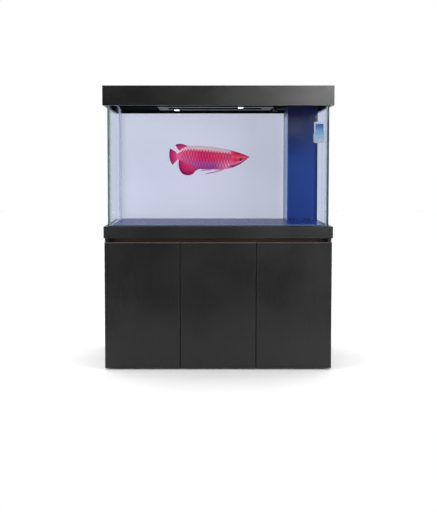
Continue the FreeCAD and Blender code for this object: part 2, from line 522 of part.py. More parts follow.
def lid_hinge_parts(middle):
    """(fixed solids, moving solid) of one butt hinge centred at x = middle."""
    axis_z = HOOD_TOP + KNUCKLE_RADIUS
    axis_y = HOOD_DECK_FRONT_Y - LID_PLAY / 2
    third = 2 * LID_HINGE_HALF / 3

    def barrel(x0, x1, bore):
        return tube(KNUCKLE_RADIUS, bore, (x0, axis_y, axis_z), (1, 0, 0), x1 - x0)

    left, right = middle - LID_HINGE_HALF, middle + LID_HINGE_HALF
    fixed_leaf = box(left, right, axis_y, axis_y + 26.0, HOOD_TOP, HOOD_TOP + LEAF)
    moving_leaf = box(left, right, axis_y - 26.0, axis_y, HOOD_TOP, HOOD_TOP + LEAF)
    bite = KNUCKLE_RADIUS + 0.4
    gap = 0.3
    clear_middle = rod(bite, (left + third - gap, axis_y, axis_z), (1, 0, 0), third + 2 * gap)
    fixed_leaf = fixed_leaf.cut(clear_middle).cut(
        box(left + third - gap, right - third + gap, axis_y, axis_y + 3.0, HOOD_TOP, HOOD_TOP + LEAF))
    moving_leaf = moving_leaf.cut(
        box(left, left + third + gap, axis_y - 4.5, axis_y, HOOD_TOP, HOOD_TOP + LEAF)).cut(
        box(right - third - gap, right, axis_y - 4.5, axis_y, HOOD_TOP, HOOD_TOP + LEAF))
    fixed = fused(fixed_leaf, barrel(left, left + third - gap, LID_PIN_RADIUS),
                  barrel(right - third + gap, right, LID_PIN_RADIUS),
                  rod(LID_PIN_RADIUS, (left, axis_y, axis_z), (1, 0, 0), 2 * LID_HINGE_HALF))
    bore = rod(LID_PIN_RADIUS + 0.05, (left, axis_y, axis_z), (1, 0, 0), 2 * LID_HINGE_HALF)
    moving = fused(moving_leaf, barrel(left + third, right - third, LID_PIN_RADIUS + 0.05)).cut(bore)
    for x in (middle - 20.0, middle + 20.0):
        fixed = fused(fixed, rod(3.0, (x, axis_y + 17.0, HOOD_TOP + LEAF), (0, 0, 1), 0.8))
        moving = fused(moving, rod(3.0, (x, axis_y - 17.0, HOOD_TOP + LEAF), (0, 0, 1), 0.8))
    return fixed, moving


def lids():
    """Two flaps over the front of the hood, hinged to the rear deck, with a finger slot before them."""
    ix, iy = HOOD_WIDTH / 2 - BOARD, HOOD_DEPTH / 2 - BOARD
    fixed_all = []
    for name, x0, x1 in (("left", -ix + LID_PLAY, -LID_PLAY), ("right", LID_PLAY, ix - LID_PLAY)):
        lid = box(x0, x1, -iy + LID_FINGER_SLOT, HOOD_DECK_FRONT_Y - LID_PLAY, HOOD_TOP - HOOD_LID, HOOD_TOP)
        front_edges = edges_where(lid, lambda p: abs(p.y + iy - LID_FINGER_SLOT) < 0.1)
        long_edges = [e for e in front_edges if e.Length > 100.0]
        export("lid_" + name, lid.makeFillet(3.0, long_edges))
        moving = []
        for middle in (x0 + 110.0, x1 - 110.0):
            fixed_part, moving_part = lid_hinge_parts(middle)
            fixed_all.append(fixed_part)
            moving.append(moving_part)
        export("lid_" + name + "_hinge_leaves", *moving)
    export("lid_hinge_bases", *fixed_all)


def lamp():
    """Twin-bar lamp: two housings with lenses between ribbed end pieces, hung from two cross bars."""
    top = LAMP_BOTTOM + LAMP_LENS + LAMP_BAR_HEIGHT
    x0, x1 = LAMP_LEFT + LAMP_END, LAMP_RIGHT - LAMP_END
    housings, lenses = [], []
    for y in LAMP_BAR_Y:
        half = LAMP_BAR_WIDTH / 2
        profile = [(x0, y - half, LAMP_BOTTOM + LAMP_LENS), (x0, y + half, LAMP_BOTTOM + LAMP_LENS),
                   (x0, y + half, top - 8.0), (x0, y + half - 10.0, top), (x0, y - half + 10.0, top),
                   (x0, y - half, top - 8.0)]
        bar = prism(profile, (1, 0, 0), x1 - x0)
        groove = box(x0, x1, y - half + 5.0, y + half - 5.0,
                     LAMP_BOTTOM + LAMP_LENS, LAMP_BOTTOM + LAMP_LENS + 5.0)
        housings.append(bar.cut(groove))
        lenses.append(box(x0, x1, y - half + 2.0, y + half - 2.0, LAMP_BOTTOM, LAMP_BOTTOM + LAMP_LENS))
    export("lamp_housings", *housings)
    export("lamp_lenses", *lenses)
    ends = []
    y0, y1 = LAMP_BAR_Y[0] - 30.0, LAMP_BAR_Y[1] + 30.0
    for left in (LAMP_LEFT, LAMP_RIGHT - LAMP_END):
        block = box(left, left + LAMP_END, y0, y1, LAMP_BOTTOM, top + 3.0)
        for i in range(3):
            z = LAMP_BOTTOM + 5.0 + 8.0 * i
            block = block.cut(box(left, left + LAMP_END, y0, y0 + 4.0, z, z + 4.0))
        for i in range(9):
            y = y0 + 18.0 + 24.0 * i
            block = block.cut(box(left, left + LAMP_END, y, y + 6.0, LAMP_BOTTOM, LAMP_BOTTOM + 3.0))
        ends.append(block)
    export("lamp_end_pieces", *ends)
    iy = HOOD_DEPTH / 2 - BOARD
    bars = []
    for left in (LAMP_LEFT + 16.0, LAMP_RIGHT - LAMP_END + 16.0):
        rail = box(left, left + 24.0, -iy, iy, TANK_TOP + BOARD, TANK_TOP + BOARD + 20.0)
        channel = box(left + 2.0, left + 22.0, -iy, iy, TANK_TOP + BOARD, TANK_TOP + BOARD + 18.0)
        hanger = box(left, left + 24.0, -10.0, 30.0, top + 3.0, TANK_TOP + BOARD)
        bars.append(fused(rail.cut(channel), hanger))
    export("lamp_cross_bars", *bars)


# ---- sump and plumbing --------------------------------------------------------------------
def sump():
    """Filter tank in the cabinet with its baffles, the drip tray and its wool."""
    z0 = GLIDE_HEIGHT + BOARD
    z1 = z0 + SUMP_HEIGHT
    g = SUMP_GLASS
    panes = [
        box(SUMP_LEFT, SUMP_RIGHT, SUMP_FRONT, SUMP_BACK, z0, z0 + g),
        box(SUMP_LEFT, SUMP_RIGHT, SUMP_FRONT, SUMP_FRONT + g, z0 + g, z1),
        box(SUMP_LEFT, SUMP_RIGHT, SUMP_BACK - g, SUMP_BACK, z0 + g, z1),
        box(SUMP_LEFT, SUMP_LEFT + g, SUMP_FRONT + g, SUMP_BACK - g, z0 + g, z1),
        box(SUMP_RIGHT - g, SUMP_RIGHT, SUMP_FRONT + g, SUMP_BACK - g, z0 + g, z1),
    ]
    for x, low, high in SUMP_BAFFLES:
        panes.append(box(x, x + g, SUMP_FRONT + g, SUMP_BACK - g, z0 + low, z0 + high))
    export("sump_tank", *panes)
    x0, x1, y0, y1 = TRAY_LEFT, SUMP_RIGHT - g - 1.0, SUMP_FRONT + g + 1.0, SUMP_BACK - g - 1.0
    floor_z = z1 - TRAY_DEPTH
    hollow = box(x0 + TRAY_WALL, x1 - TRAY_WALL, y0 + TRAY_WALL, y1 - TRAY_WALL, floor_z + TRAY_WALL, z1)
    tray = box(x0, x1, y0, y1, floor_z, z1).cut(hollow)
    for i in range(6):
        for j in range(7):
            spot = (x0 + 30.0 + i * 35.0, y0 + 30.0 + j * 41.0, floor_z)
            tray = tray.cut(rod(TRAY_HOLE_RADIUS, spot, (0, 0, 1), TRAY_WALL))
    for ya, yb in ((SUMP_FRONT - 2.0, y0 + TRAY_WALL), (y1 - TRAY_WALL, SUMP_BACK + 2.0)):
        tray = fused(tray, box(x0 + 20.0, x1 - 20.0, ya, yb, z1, z1 + 3.0))
    export("filter_tray", tray)
    inset = TRAY_WALL + 1.0
    wool = box(x0 + inset, x1 - inset, y0 + inset, y1 - inset, floor_z + TRAY_WALL, z1 - WOOL_DROP)
    export("filter_wool", wool)


def valve_body(centre, along, pipe_radius):
    """A ball valve: a body with a union nut at each end and a stem boss towards -Y."""
    c, a = Vector(*centre), Vector(*along)
    body = Part.makeCylinder(pipe_radius + 9.0, 50.0, c - a * 25.0, a)
    for start in (c - a * 45.0, c + a * 25.0):
        body = fused(body, Part.makeCylinder(pipe_radius + 12.0, 20.0, start, a))
    boss = Part.makeCylinder(9.0, pipe_radius + 17.0, c, Vector(0, -1, 0))
    return fused(body, boss).cut(Part.makeCylinder(pipe_radius + SOCKET_PLAY, 90.0, c - a * 45.0, a))


def valve_handle(centre, pipe_radius):
    """A lever on the valve's stem: a hub with a tapered grip along +Z."""
    x, y, z = centre
    front = y - pipe_radius - 17.0
    hub = rod(11.0, (x, front - 9.0, z), (0, 1, 0), 9.0 - 0.3)
    grip = prism([(x - 8.0, front - 9.0, z), (x + 8.0, front - 9.0, z), (x + 5.5, front - 9.0, z + 62.0),
                  (x - 5.5, front - 9.0, z + 62.0)], (0, 1, 0), 6.0)
    return fused(hub, grip)


def plumbing():
    """Drain line with its valve above the tray, and the return line from the pump to the riser."""
    y = PIPES_Y
    drain_inner = DRAIN_RADIUS - DRAIN_WALL
    sump_top = GLIDE_HEIGHT + BOARD + SUMP_HEIGHT
    foot_z = sump_top - DRAIN_DIP
    half_gap = VALVE_SEAT / 2
    lower = DRAIN_VALVE_Z - half_gap - foot_z
    upper_z = DRAIN_VALVE_Z + half_gap
    export("drain_pipe", tube(DRAIN_RADIUS, drain_inner, (DRAIN_X, y, foot_z), (0, 0, 1), lower),
           tube(DRAIN_RADIUS, drain_inner, (DRAIN_X, y, upper_z), (0, 0, 1), PIPE_STOP - upper_z))
    r, bore = RETURN_RADIUS, RETURN_RADIUS - RETURN_WALL
    pump_top = GLIDE_HEIGHT + BOARD + SUMP_GLASS + 104.0
    z = RETURN_RUN_Z

    def elbow(x, run, rise):
        """A moulded elbow that joins a horizontal and an upright pipe at x."""
        def passage(radius):
            return fused(Part.makeSphere(radius, Vector(x, y, z)),
                         rod(radius, (x, y, z), (run, 0, 0), ELBOW_ARM),
                         rod(radius, (x, y, z), (0, 0, rise), ELBOW_ARM))

        depth = ELBOW_ARM - ELBOW_SEAT
        sockets = [rod(r + SOCKET_PLAY, (x + run * ELBOW_SEAT, y, z), (run, 0, 0), depth),
                   rod(r + SOCKET_PLAY, (x, y, z + rise * ELBOW_SEAT), (0, 0, rise), depth)]
        return passage(r + 4.0).cut(fused(passage(bore), *sockets))

    left_x, right_x = RETURN_VALVE_X - half_gap, RETURN_VALVE_X + half_gap
    export("return_pipe",
           tube(r, bore, (PUMP_X, y, pump_top), (0, 0, 1), z - ELBOW_SEAT - pump_top),
           tube(r, bore, (PUMP_X + ELBOW_SEAT, y, z), (1, 0, 0), left_x - PUMP_X - ELBOW_SEAT),
           tube(r, bore, (right_x, y, z), (1, 0, 0), RETURN_X - ELBOW_SEAT - right_x),
           tube(r, bore, (RETURN_X, y, z + ELBOW_SEAT), (0, 0, 1), PIPE_STOP - z - ELBOW_SEAT),
           elbow(PUMP_X, 1, -1), elbow(RETURN_X, -1, 1))
    drain_centre = (DRAIN_X, y, DRAIN_VALVE_Z)
    return_centre = (RETURN_VALVE_X, y, z)
    export("valve_bodies", valve_body(drain_centre, (0, 0, 1), DRAIN_RADIUS),
           valve_body(return_centre, (1, 0, 0), RETURN_RADIUS))
    export("drain_valve_handle", valve_handle(drain_centre, DRAIN_RADIUS))
    handle = valve_handle(return_centre, RETURN_RADIUS)
    handle.rotate(Vector(*return_centre), Vector(0, 1, 0), 90.0)
    export("return_valve_handle", handle)


def pump():
    """Submersible return pump: motor block with its chamber and outlet, and the rotor inside."""
    z0 = GLIDE_HEIGHT + BOARD + SUMP_GLASS
    x, y = PUMP_X, PIPES_Y
    axis_z = z0 + 48.0
    rear_y, chamber_y, front_y = y + 44.0, y - 14.0, y - 60.0
    cover_y = front_y + PUMP_COVER
    block = box(x - 42.0, x + 42.0, chamber_y, rear_y, z0 + 4.0, z0 + 92.0)
    long_edges = [e for e in block.Edges if abs(e.Vertexes[0].Point.y - e.Vertexes[-1].Point.y) > 20.0]
    block = block.makeFillet(8.0, long_edges)
    chamber = rod(PUMP_CHAMBER_RADIUS, (x, cover_y, axis_z), (0, 1, 0), chamber_y - cover_y)
    outlet = rod(RETURN_RADIUS + 4.5, (x, y, z0 + 86.0), (0, 0, 1), 40.0)
    feet = [box(middle - 7.0, middle + 7.0, chamber_y + 2.0, rear_y - 2.0, z0, z0 + 4.5)
            for middle in (x - 30.0, x + 30.0)]
    body = fused(block, chamber, outlet, *feet)
    body = body.cut(rod(13.0, (x, cover_y + 1.0, axis_z), (0, 1, 0), 75.0))
    body = body.cut(rod(29.0, (x, cover_y, axis_z), (0, 1, 0), 20.0))
    body = body.cut(rod(RETURN_RADIUS + SOCKET_PLAY, (x, y, z0 + 104.0), (0, 0, 1), 30.0))
    body = body.cut(rod(SHAFT_BORE, (x, rear_y - 10.0, axis_z), (0, 1, 0), 6.0))
    hollow = rod(28.0, (x, front_y + PUMP_GRILLE, axis_z), (0, 1, 0), PUMP_COVER - PUMP_GRILLE)
    cover = rod(PUMP_CHAMBER_RADIUS, (x, front_y, axis_z), (0, 1, 0), PUMP_COVER).cut(hollow)
    for i in range(7):
        slot_x = x - 21.0 + 7.0 * i
        cover = cover.cut(box(slot_x - 1.6, slot_x + 1.6, front_y, front_y + PUMP_GRILLE,
                              axis_z - 16.0, axis_z + 16.0))
    boss = tube(6.0, SHAFT_BORE, (x, front_y, axis_z), (0, 1, 0), 12.0)
    cover = fused(cover.cut(rod(SHAFT_BORE, (x, front_y, axis_z), (0, 1, 0), PUMP_GRILLE)), boss)
    export("return_pump", body, cover)
    rotor = rod(12.0, (x, front_y + 40.0, axis_z), (0, 1, 0), 52.0)
    hub = rod(8.0, (x, front_y + 24.0, axis_z), (0, 1, 0), 16.0)
    shaft = rod(SHAFT_RADIUS, (x, front_y + 2.0, axis_z), (0, 1, 0), rear_y - 5.0 - front_y - 2.0)
    wheel = fused(rotor, hub, shaft)
    for i in range(6):
        blade = box(x - 1.2, x + 1.2, front_y + 24.0, front_y + 35.0, axis_z + 4.0, axis_z + 25.0)
        blade.rotate(Vector(x, y, axis_z), Vector(0, 1, 0), 60.0 * i)
        wheel = fused(wheel, blade)
    export("pump_impeller", wheel)


# ---- fish ---------------------------------------------------------------------------------
FISH_STATIONS = (
    # x, half thickness, bottom and top of the body from the fish's middle height
    (-238.0, 4.0, -8.0, 34.0),
    (-205.0, 12.0, -19.0, 55.0),
    (-170.0, 20.0, -38.0, 70.0),
    (-110.0, 29.0, -63.0, 71.0),
    (-40.0, 33.0, -64.0, 65.0),
    (30.0, 31.0, -67.0, 56.0),
    (90.0, 25.0, -55.0, 44.0),
    (140.0, 16.0, -34.0, 29.0),
    (172.0, 8.0, -10.0, 16.0),
    (188.0, 2.5, 4.0, 10.0),
)
TAIL_FIN = (
    (-276.0, 57.0), (-238.0, 30.0), (-232.0, -8.0), (-261.0, -38.0), (-278.0, -17.0), (-282.0, 5.0),
)
DORSAL_FIN = (
    (-244.0, 78.0), (-225.0, 83.0), (-204.0, 83.0), (-165.0, 68.0), (-200.0, 45.0), (-219.0, 39.0),
)
ANAL_FIN = (
    (-227.0, -17.0), (-227.0, -44.0), (-217.0, -74.0), (-199.0, -93.0), (-173.0, -100.0), (-146.0, -93.0),
    (-129.0, -76.0), (-105.0, -62.0), (-165.0, -30.0), (-220.0, -2.0),
)


def fish():
    """Plain closed solid of the fish: a lofted body, with the tail, dorsal and anal fins as thin plates."""
    rings = []
    for x, half, low, high in FISH_STATIONS:
        middle, tall = FISH_Z + (low + high) / 2, (high - low) / 2
        ring = Part.Ellipse(Vector(0, 0, 0), tall, half).toShape()
        placement = FreeCAD.Placement(Vector(x, FISH_Y, middle), FreeCAD.Rotation(
            Vector(0, 0, 1), Vector(0, 1, 0), Vector(1, 0, 0), "ZXY"))
        ring.Placement = placement
        rings.append(Part.Wire(ring))
    body = Part.makeLoft(rings, True, False)
    for outline in (TAIL_FIN, DORSAL_FIN, ANAL_FIN):
        points = [(x, FISH_Y - FIN_THICKNESS / 2, FISH_Z + z) for x, z in outline]
        body = body.fuse(prism(points, (0, 1, 0), FIN_THICKNESS))
    export("arowana", body.removeSplitter())


os.makedirs("parts", exist_ok=True)
for old in os.listdir("parts"):
    if old.endswith(".step"):
        os.remove(os.path.join("parts", old))
tank_glass()
silicone_seams()
tank_linings()
overflow_tower()
bulkheads()
tower_pipes()
thermometer()
deck()
carcass()
doors()
hood_shell()
lids()
lamp()
sump()
plumbing()
pump()
fish()
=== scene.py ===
"""Looks of an aquarium on a cabinet stand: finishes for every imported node, the arowana and small fittings."""
import logging
import math
from dataclasses import dataclass, field
from enum import Enum
from typing import Iterable, Sequence

import bmesh
import bpy
from mathutils import Matrix, Vector


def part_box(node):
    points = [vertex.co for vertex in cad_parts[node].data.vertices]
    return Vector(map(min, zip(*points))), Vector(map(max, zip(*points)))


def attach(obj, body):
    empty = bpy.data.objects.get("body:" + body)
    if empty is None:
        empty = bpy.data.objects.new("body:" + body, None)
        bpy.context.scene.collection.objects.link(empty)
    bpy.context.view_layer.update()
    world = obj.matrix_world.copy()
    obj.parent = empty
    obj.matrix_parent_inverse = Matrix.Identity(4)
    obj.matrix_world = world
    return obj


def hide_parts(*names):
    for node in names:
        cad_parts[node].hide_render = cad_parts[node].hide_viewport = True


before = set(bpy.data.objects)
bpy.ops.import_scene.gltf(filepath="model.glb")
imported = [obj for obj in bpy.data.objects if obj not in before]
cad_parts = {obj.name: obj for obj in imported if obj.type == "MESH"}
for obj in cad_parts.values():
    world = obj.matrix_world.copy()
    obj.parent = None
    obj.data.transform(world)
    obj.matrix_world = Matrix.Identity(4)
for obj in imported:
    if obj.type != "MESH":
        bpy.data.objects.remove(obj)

LOG = logging.getLogger("aquarium")
MM = 0.001
Colour = tuple[float, float, float]
Point = tuple[float, float]
NOISE_LOW, NOISE_HIGH = 0.3, 0.7  # nearly every value of a noise lies between these
WHITE = (1.0, 1.0, 1.0)
SAME_PLACE = 1e-7
SIDES = (("near", -1.0), ("far", 1.0))


# ---- materials ----------------------------------------------------------------------------
class Axis(Enum):
    """A direction of the object, as an index into a vector."""

    X = 0
    Y = 1
    Z = 2


class Recipe:
    """A node material that is put together one node at a time."""

    def __init__(self, name: str) -> None:
        """Starts with a Principled shader.

        Args:
            name: the material's name.
        """
        self.material = bpy.data.materials.new(name)
        self.material.use_nodes = True
        self.tree = self.material.node_tree
        self.shader = self.tree.nodes["Principled BSDF"]
        self.output = self.tree.nodes["Material Output"]

    def node(self, kind: str, **settings: object) -> bpy.types.Node:
        """Adds a node.

        Args:
            kind: the node's type without its ShaderNode prefix.
            settings: properties of the node to set.

        Returns:
            The new node.
        """
        made = self.tree.nodes.new("ShaderNode" + kind)
        for key, value in settings.items():
            setattr(made, key, value)
        return made

    def link(self, source: bpy.types.NodeSocket, target: bpy.types.NodeSocket) -> None:
        """Joins two sockets."""
        self.tree.links.new(source, target)

    def feed(self, target: bpy.types.NodeSocket, value: object) -> None:
        """Sets or links an input.

        Args:
            target: the input.
            value: a socket, a number or a colour.
        """
        if isinstance(value, tuple):
            target.default_value = (*value, 1.0)
        elif isinstance(value, (int, float)):
            target.default_value = value
        else:
            self.link(value, target)

    def put(self, name: str, value: object) -> None:
        """Sets or links an input of the Principled shader, by its name."""
        self.feed(self.shader.inputs[name], value)

    def parts(self, kind: str, output: object, **settings: object) -> list[bpy.types.NodeSocket]:
        """The three numbers of a new node's vector.

        Args:
            kind: the node's type without its ShaderNode prefix.
            output: the name or the number of its output.
            settings: properties of the node to set.

        Returns:
            The sockets of X, Y and Z.
        """
        split = self.node("SeparateXYZ")
        self.link(self.node(kind, **settings).outputs[output], split.inputs[0])
        return list(split.outputs)

    def spot(self) -> list[bpy.types.NodeSocket]:
        """Object coordinates in metres, as three sockets."""
        return self.parts("TexCoord", "Object")

    def lie(self) -> list[bpy.types.NodeSocket]:
        """Where a point lies on the fish's skin or fin, as three sockets."""
        return self.parts("UVMap", 0, uv_map="lie")

    def place(self, stretch: Sequence[float] = (1.0, 1.0, 1.0)) -> bpy.types.NodeSocket:
        """Object coordinates, scaled along each axis.

        Args:
            stretch: the scale along X, Y and Z.

        Returns:
            The vector socket.
        """
        coordinates = self.node("TexCoord")
        mapping = self.node("Mapping")
        mapping.inputs["Scale"].default_value = tuple(stretch)
        self.link(coordinates.outputs["Object"], mapping.inputs["Vector"])
        return mapping.outputs["Vector"]

    def drawn_out(self, axis: Axis, share: float) -> bpy.types.NodeSocket:
        """Object coordinates that change slowly along one axis, by a share of the others."""
        return self.place([share if k is axis else 1.0 for k in Axis])

    def noise(self, vector: bpy.types.NodeSocket, scale: float, detail: float = 4.0) -> bpy.types.NodeSocket:
        """Smooth noise.

        Args:
            vector: where it is read.
            scale: cells per metre.
            detail: how many finer layers it has.

        Returns:
            The value socket, from 0 to 1.
        """
        made = self.node("TexNoise")
        made.inputs["Scale"].default_value = scale
        made.inputs["Detail"].default_value = detail
        self.link(vector, made.inputs["Vector"])
        return made.outputs["Fac"]

    def calc(self, operation: str, first: object, second: object = 0.0) -> bpy.types.NodeSocket:
        """A math node.

        Args:
            operation: the node's operation.
            first: a socket or a number.
            second: a socket or a number.

        Returns:
            The result's socket.
        """
        made = self.node("Math", operation=operation)
        self.feed(made.inputs[0], first)
        self.feed(made.inputs[1], second)
        return made.outputs[0]

    def band(self, value: bpy.types.NodeSocket, low: float, high: float,
             out: Point = (0.0, 1.0)) -> bpy.types.NodeSocket:
        """Spreads the range from low to high over out, and clamps it.

        Args:
            value: the socket to read.
            low: the value that becomes the first of out.
            high: the value that becomes the second of out.
            out: the two results.

        Returns:
            The result's socket.
        """
        made = self.node("MapRange")
        for slot, number in zip(("From Min", "From Max", "To Min", "To Max"), (low, high, *out)):
            made.inputs[slot].default_value = number
        self.link(value, made.inputs["Value"])
        return made.outputs["Result"]

    def vary(self, noise: bpy.types.NodeSocket, low: float = 0.0, high: float = 1.0) -> bpy.types.NodeSocket:
        """Spreads a noise over the range from low to high."""
        return self.band(noise, NOISE_LOW, NOISE_HIGH, (low, high))

    def blend(self, factor: bpy.types.NodeSocket, low: object, high: object) -> bpy.types.NodeSocket:
        """Mixes two colours.

        Args:
            factor: 0 shows low and 1 shows high.
            low: a socket or a colour.
            high: a socket or a colour.

        Returns:
            The colour socket.
        """
        made = self.node("Mix", data_type="RGBA")
        self.link(factor, made.inputs[0])
        self.feed(made.inputs[6], low)
        self.feed(made.inputs[7], high)
        return made.outputs[2]

    def shades(self, factor: bpy.types.NodeSocket, colour: Colour, low: float,
               high: float = 1.0) -> bpy.types.NodeSocket:
        """Mixes two shades of a colour.

        Args:
            factor: 0 shows the first shade and 1 the second.
            colour: the colour.
            low: what the first shade's channels are multiplied by.
            high: what the second shade's channels are multiplied by.

        Returns:
            The colour socket.
        """
        return self.blend(factor, tinted(colour, low), tinted(colour, high))

    def product(self, first: object, second: object) -> bpy.types.NodeSocket:
        """Multiplies two colours.

        Args:
            first: a socket or a colour.
            second: a socket or a colour.

        Returns:
            The colour socket.
        """
        made = self.node("Mix", data_type="RGBA", blend_type="MULTIPLY")
        for slot, value in ((0, 1.0), (6, first), (7, second)):
            self.feed(made.inputs[slot], value)
        return made.outputs[2]

    def layered(self, factor: bpy.types.NodeSocket, low: bpy.types.Node,
                high: bpy.types.Node) -> bpy.types.Node:
        """Mixes two shaders.

        Args:
            factor: 0 shows low and 1 shows high.
            low: a shader's node.
            high: a shader's node.

        Returns:
            The node of the mix.
        """
        made = self.node("MixShader")
        for slot, socket in enumerate((factor, low.outputs[0], high.outputs[0])):
            self.link(socket, made.inputs[slot])
        return made

    def paint(self, colour: object, rough: object, glow: object = None) -> None:
        """Sets the Principled shader's colour and roughness, and its glow where it has one.

        Args:
            colour: a socket or a colour.
            rough: a socket or a number.
            glow: the strength of its own light, as a socket or a number.
        """
        self.put("Base Color", colour)
        self.put("Roughness", rough)
        if glow is not None:
            self.put("Emission Color", colour)
            self.put("Emission Strength", glow)

    def surface(self, shader: bpy.types.Node) -> None:
        """Makes a shader the material's surface."""
        self.link(shader.outputs[0], self.output.inputs["Surface"])

    def facing(self, axis: Axis) -> bpy.types.NodeSocket:
        """How squarely a face looks along an axis, from 0 to 1, whichever way round."""
        return self.calc("ABSOLUTE", self.parts("NewGeometry", "True Normal")[axis.value])

    def upward(self) -> bpy.types.NodeSocket:
        """The upward part of a face's normal."""
        return self.parts("NewGeometry", "True Normal")[2]

    def bump(self, height: bpy.types.NodeSocket, depth: float, strength: float = 1.0) -> None:
        """Raises the surface of the Principled shader.

        Args:
            height: the socket with the relief.
            depth: the relief's depth in metres.
            strength: how much of it shows.
        """
        made = self.node("Bump")
        made.inputs["Distance"].default_value = depth
        made.inputs["Strength"].default_value = strength
        self.link(height, made.inputs["Height"])
        self.link(made.outputs["Normal"], self.shader.inputs["Normal"])


def tinted(colour: Colour, amount: float) -> Colour:
    """A lighter or darker version of a colour.

    Args:
        colour: the colour to start from.
        amount: what each channel is multiplied by.

    Returns:
        The new colour.
    """
    return tuple(min(1.0, channel * amount) for channel in colour)


@dataclass(frozen=True)
class Finish:
    """A named finish, which lays out its own nodes."""

    name: str

    def build(self) -> bpy.types.Material:
        """Makes the material.

        Returns:
            The finished material.
        """
        recipe = Recipe(self.name)
        self.mix(recipe)
        return recipe.material

    def mix(self, recipe: Recipe) -> None:
        """Lays out the nodes.

        Args:
            recipe: the material's nodes.
        """
        raise NotImplementedError


@dataclass(frozen=True)
class Laminate(Finish):
    """Wood-grain foil on a board, with bare wood on the upward edge where wanted."""

    colour: Colour
    grain: Axis
    rough: float = 0.36
    contrast: float = 0.30
    bare_top: bool = False
    bare_colour: Colour = (0.115, 0.095, 0.085)
    specular: float = 0.5
    ior: float = 1.6
    dull_inside: tuple[float, float] | None = None

    def mix(self, recipe: Recipe) -> None:
        """Lays out the nodes.

        Args:
            recipe: the material's nodes.
        """
        along = recipe.drawn_out(self.grain, 0.035)
        streaks = recipe.noise(along, 260.0, 8.0)
        pores = recipe.noise(along, 1150.0, 3.0)
        clouds = recipe.noise(recipe.place(), 3.2, 3.0)
        grain = recipe.band(streaks, 0.34, 0.66)
        colour = recipe.shades(grain, self.colour, 1.0 - self.contrast, 1.0 + self.contrast)
        colour = recipe.blend(recipe.band(clouds, 0.35, 0.7, (0.0, 0.35)), colour, tinted(self.colour, 1.6))
        if self.bare_top:
            fibres = recipe.noise(recipe.drawn_out(Axis.X, 0.5), 160.0, 6.0)
            bare = recipe.shades(recipe.vary(fibres), self.bare_colour, 0.7, 1.3)
            colour = recipe.blend(recipe.band(recipe.upward(), 0.3, 0.5), colour, bare)
        worn = recipe.band(clouds, 0.3, 0.75, (-0.05, 0.07))
        recipe.paint(colour, recipe.calc("ADD", recipe.vary(pores, self.rough, self.rough + 0.12), worn))
        pits = recipe.band(pores, 0.45, 0.6, (0.0, 0.4))
        recipe.bump(recipe.calc("ADD", recipe.calc("MULTIPLY", grain, 0.6), pits), 0.00025, 0.5)
        recipe.put("IOR", self.ior)
        if self.dull_inside is None:
            recipe.put("Specular IOR Level", self.specular)
        else:
            outside = recipe.calc("GREATER_THAN", recipe.upward(), 0.5)
            for place, edge in zip(recipe.spot(), self.dull_inside):
                beyond = recipe.calc("GREATER_THAN", recipe.calc("ABSOLUTE", place), edge)
                outside = recipe.calc("MAXIMUM", outside, beyond)
            recipe.put("Specular IOR Level", recipe.calc("MULTIPLY", outside, self.specular))


@dataclass(frozen=True)
class Pane(Finish):
    """Clear sheet glass: see-through on its broad faces, green on its edges, with painted light: glowing edges,
    paler left, inner and rear edges where set, and a lighter see-through tint on the right where set.
    """

    broad: Axis
    tint: Colour = (0.985, 0.995, 0.995)
    # painted light: a lighter see-through tint for the pane on the right
    painted_light_right_tint: Colour | None = None
    edge: Colour = (0.10, 0.185, 0.19)
    # painted light: the inner, left and rear edge colours can be paler than the green edge, and the edges glow
    inner_edge: Colour = (0.10, 0.185, 0.19)
    painted_light_left_edge: Colour = (0.10, 0.185, 0.19)
    painted_light_rear_edge: Colour | None = None
    painted_edge_glow: float = 0.12
    mirror: float = 0.85
    rim_from: float | None = None
    outer_x: Point = (0.6015, 0.6045)

    def mix(self, recipe: Recipe) -> None:
        """Lays out the nodes.

        Args:
            recipe: the material's nodes.
        """
        smear = recipe.noise(recipe.place(), 9.0, 5.0)
        clear = recipe.node("BsdfTransparent")
        spot = recipe.spot()
        tint: object = self.tint
        if self.painted_light_right_tint is not None:
            tint = recipe.blend(recipe.calc("GREATER_THAN", spot[0], 0.0), self.tint, self.painted_light_right_tint)
        recipe.feed(clear.inputs["Color"], tint)
        shine = recipe.node("BsdfGlossy")
        recipe.feed(shine.inputs["Color"], WHITE)
        recipe.link(recipe.band(smear, 0.35, 0.75, (0.015, 0.05)), shine.inputs["Roughness"])
        slant = recipe.node("LayerWeight")
        slant.inputs["Blend"].default_value = 0.5
        rise = recipe.calc("MULTIPLY", recipe.calc("POWER", slant.outputs["Facing"], 5.0), 0.8)
        mirrored = recipe.calc("MULTIPLY", recipe.calc("ADD", rise, 0.04), self.mirror)
        sheet = recipe.layered(mirrored, clear, shine)
        depth = recipe.noise(recipe.place(), 34.0, 3.0)
        outward = recipe.band(recipe.calc("ABSOLUTE", spot[0]), *self.outer_x)
        outer = recipe.blend(recipe.calc("LESS_THAN", spot[0], 0.0), self.edge, self.painted_light_left_edge)
        body = recipe.blend(outward, self.inner_edge, outer)
        # painted light: the edges glow, the rear edge most
        glow: object = self.painted_edge_glow
        if self.painted_light_rear_edge is not None:
            rear = recipe.calc("GREATER_THAN", spot[1], 0.0)
            body = recipe.blend(rear, body, self.painted_light_rear_edge)
            glow = recipe.calc("ADD", recipe.calc("MULTIPLY", rear, 0.5), self.painted_edge_glow)
        dim = recipe.shades(recipe.band(depth, 0.35, 0.65), WHITE, 0.85)
        recipe.paint(recipe.product(body, dim), 0.18, glow)
        clearness = recipe.band(recipe.facing(self.broad), 0.45, 0.55)
        if self.rim_from is not None:
            rim = recipe.calc("MULTIPLY", clearness, recipe.calc("GREATER_THAN", spot[2], self.rim_from))
            clearness = recipe.calc("SUBTRACT", 1.0, rim)
        recipe.surface(recipe.layered(clearness, recipe.shader, sheet))


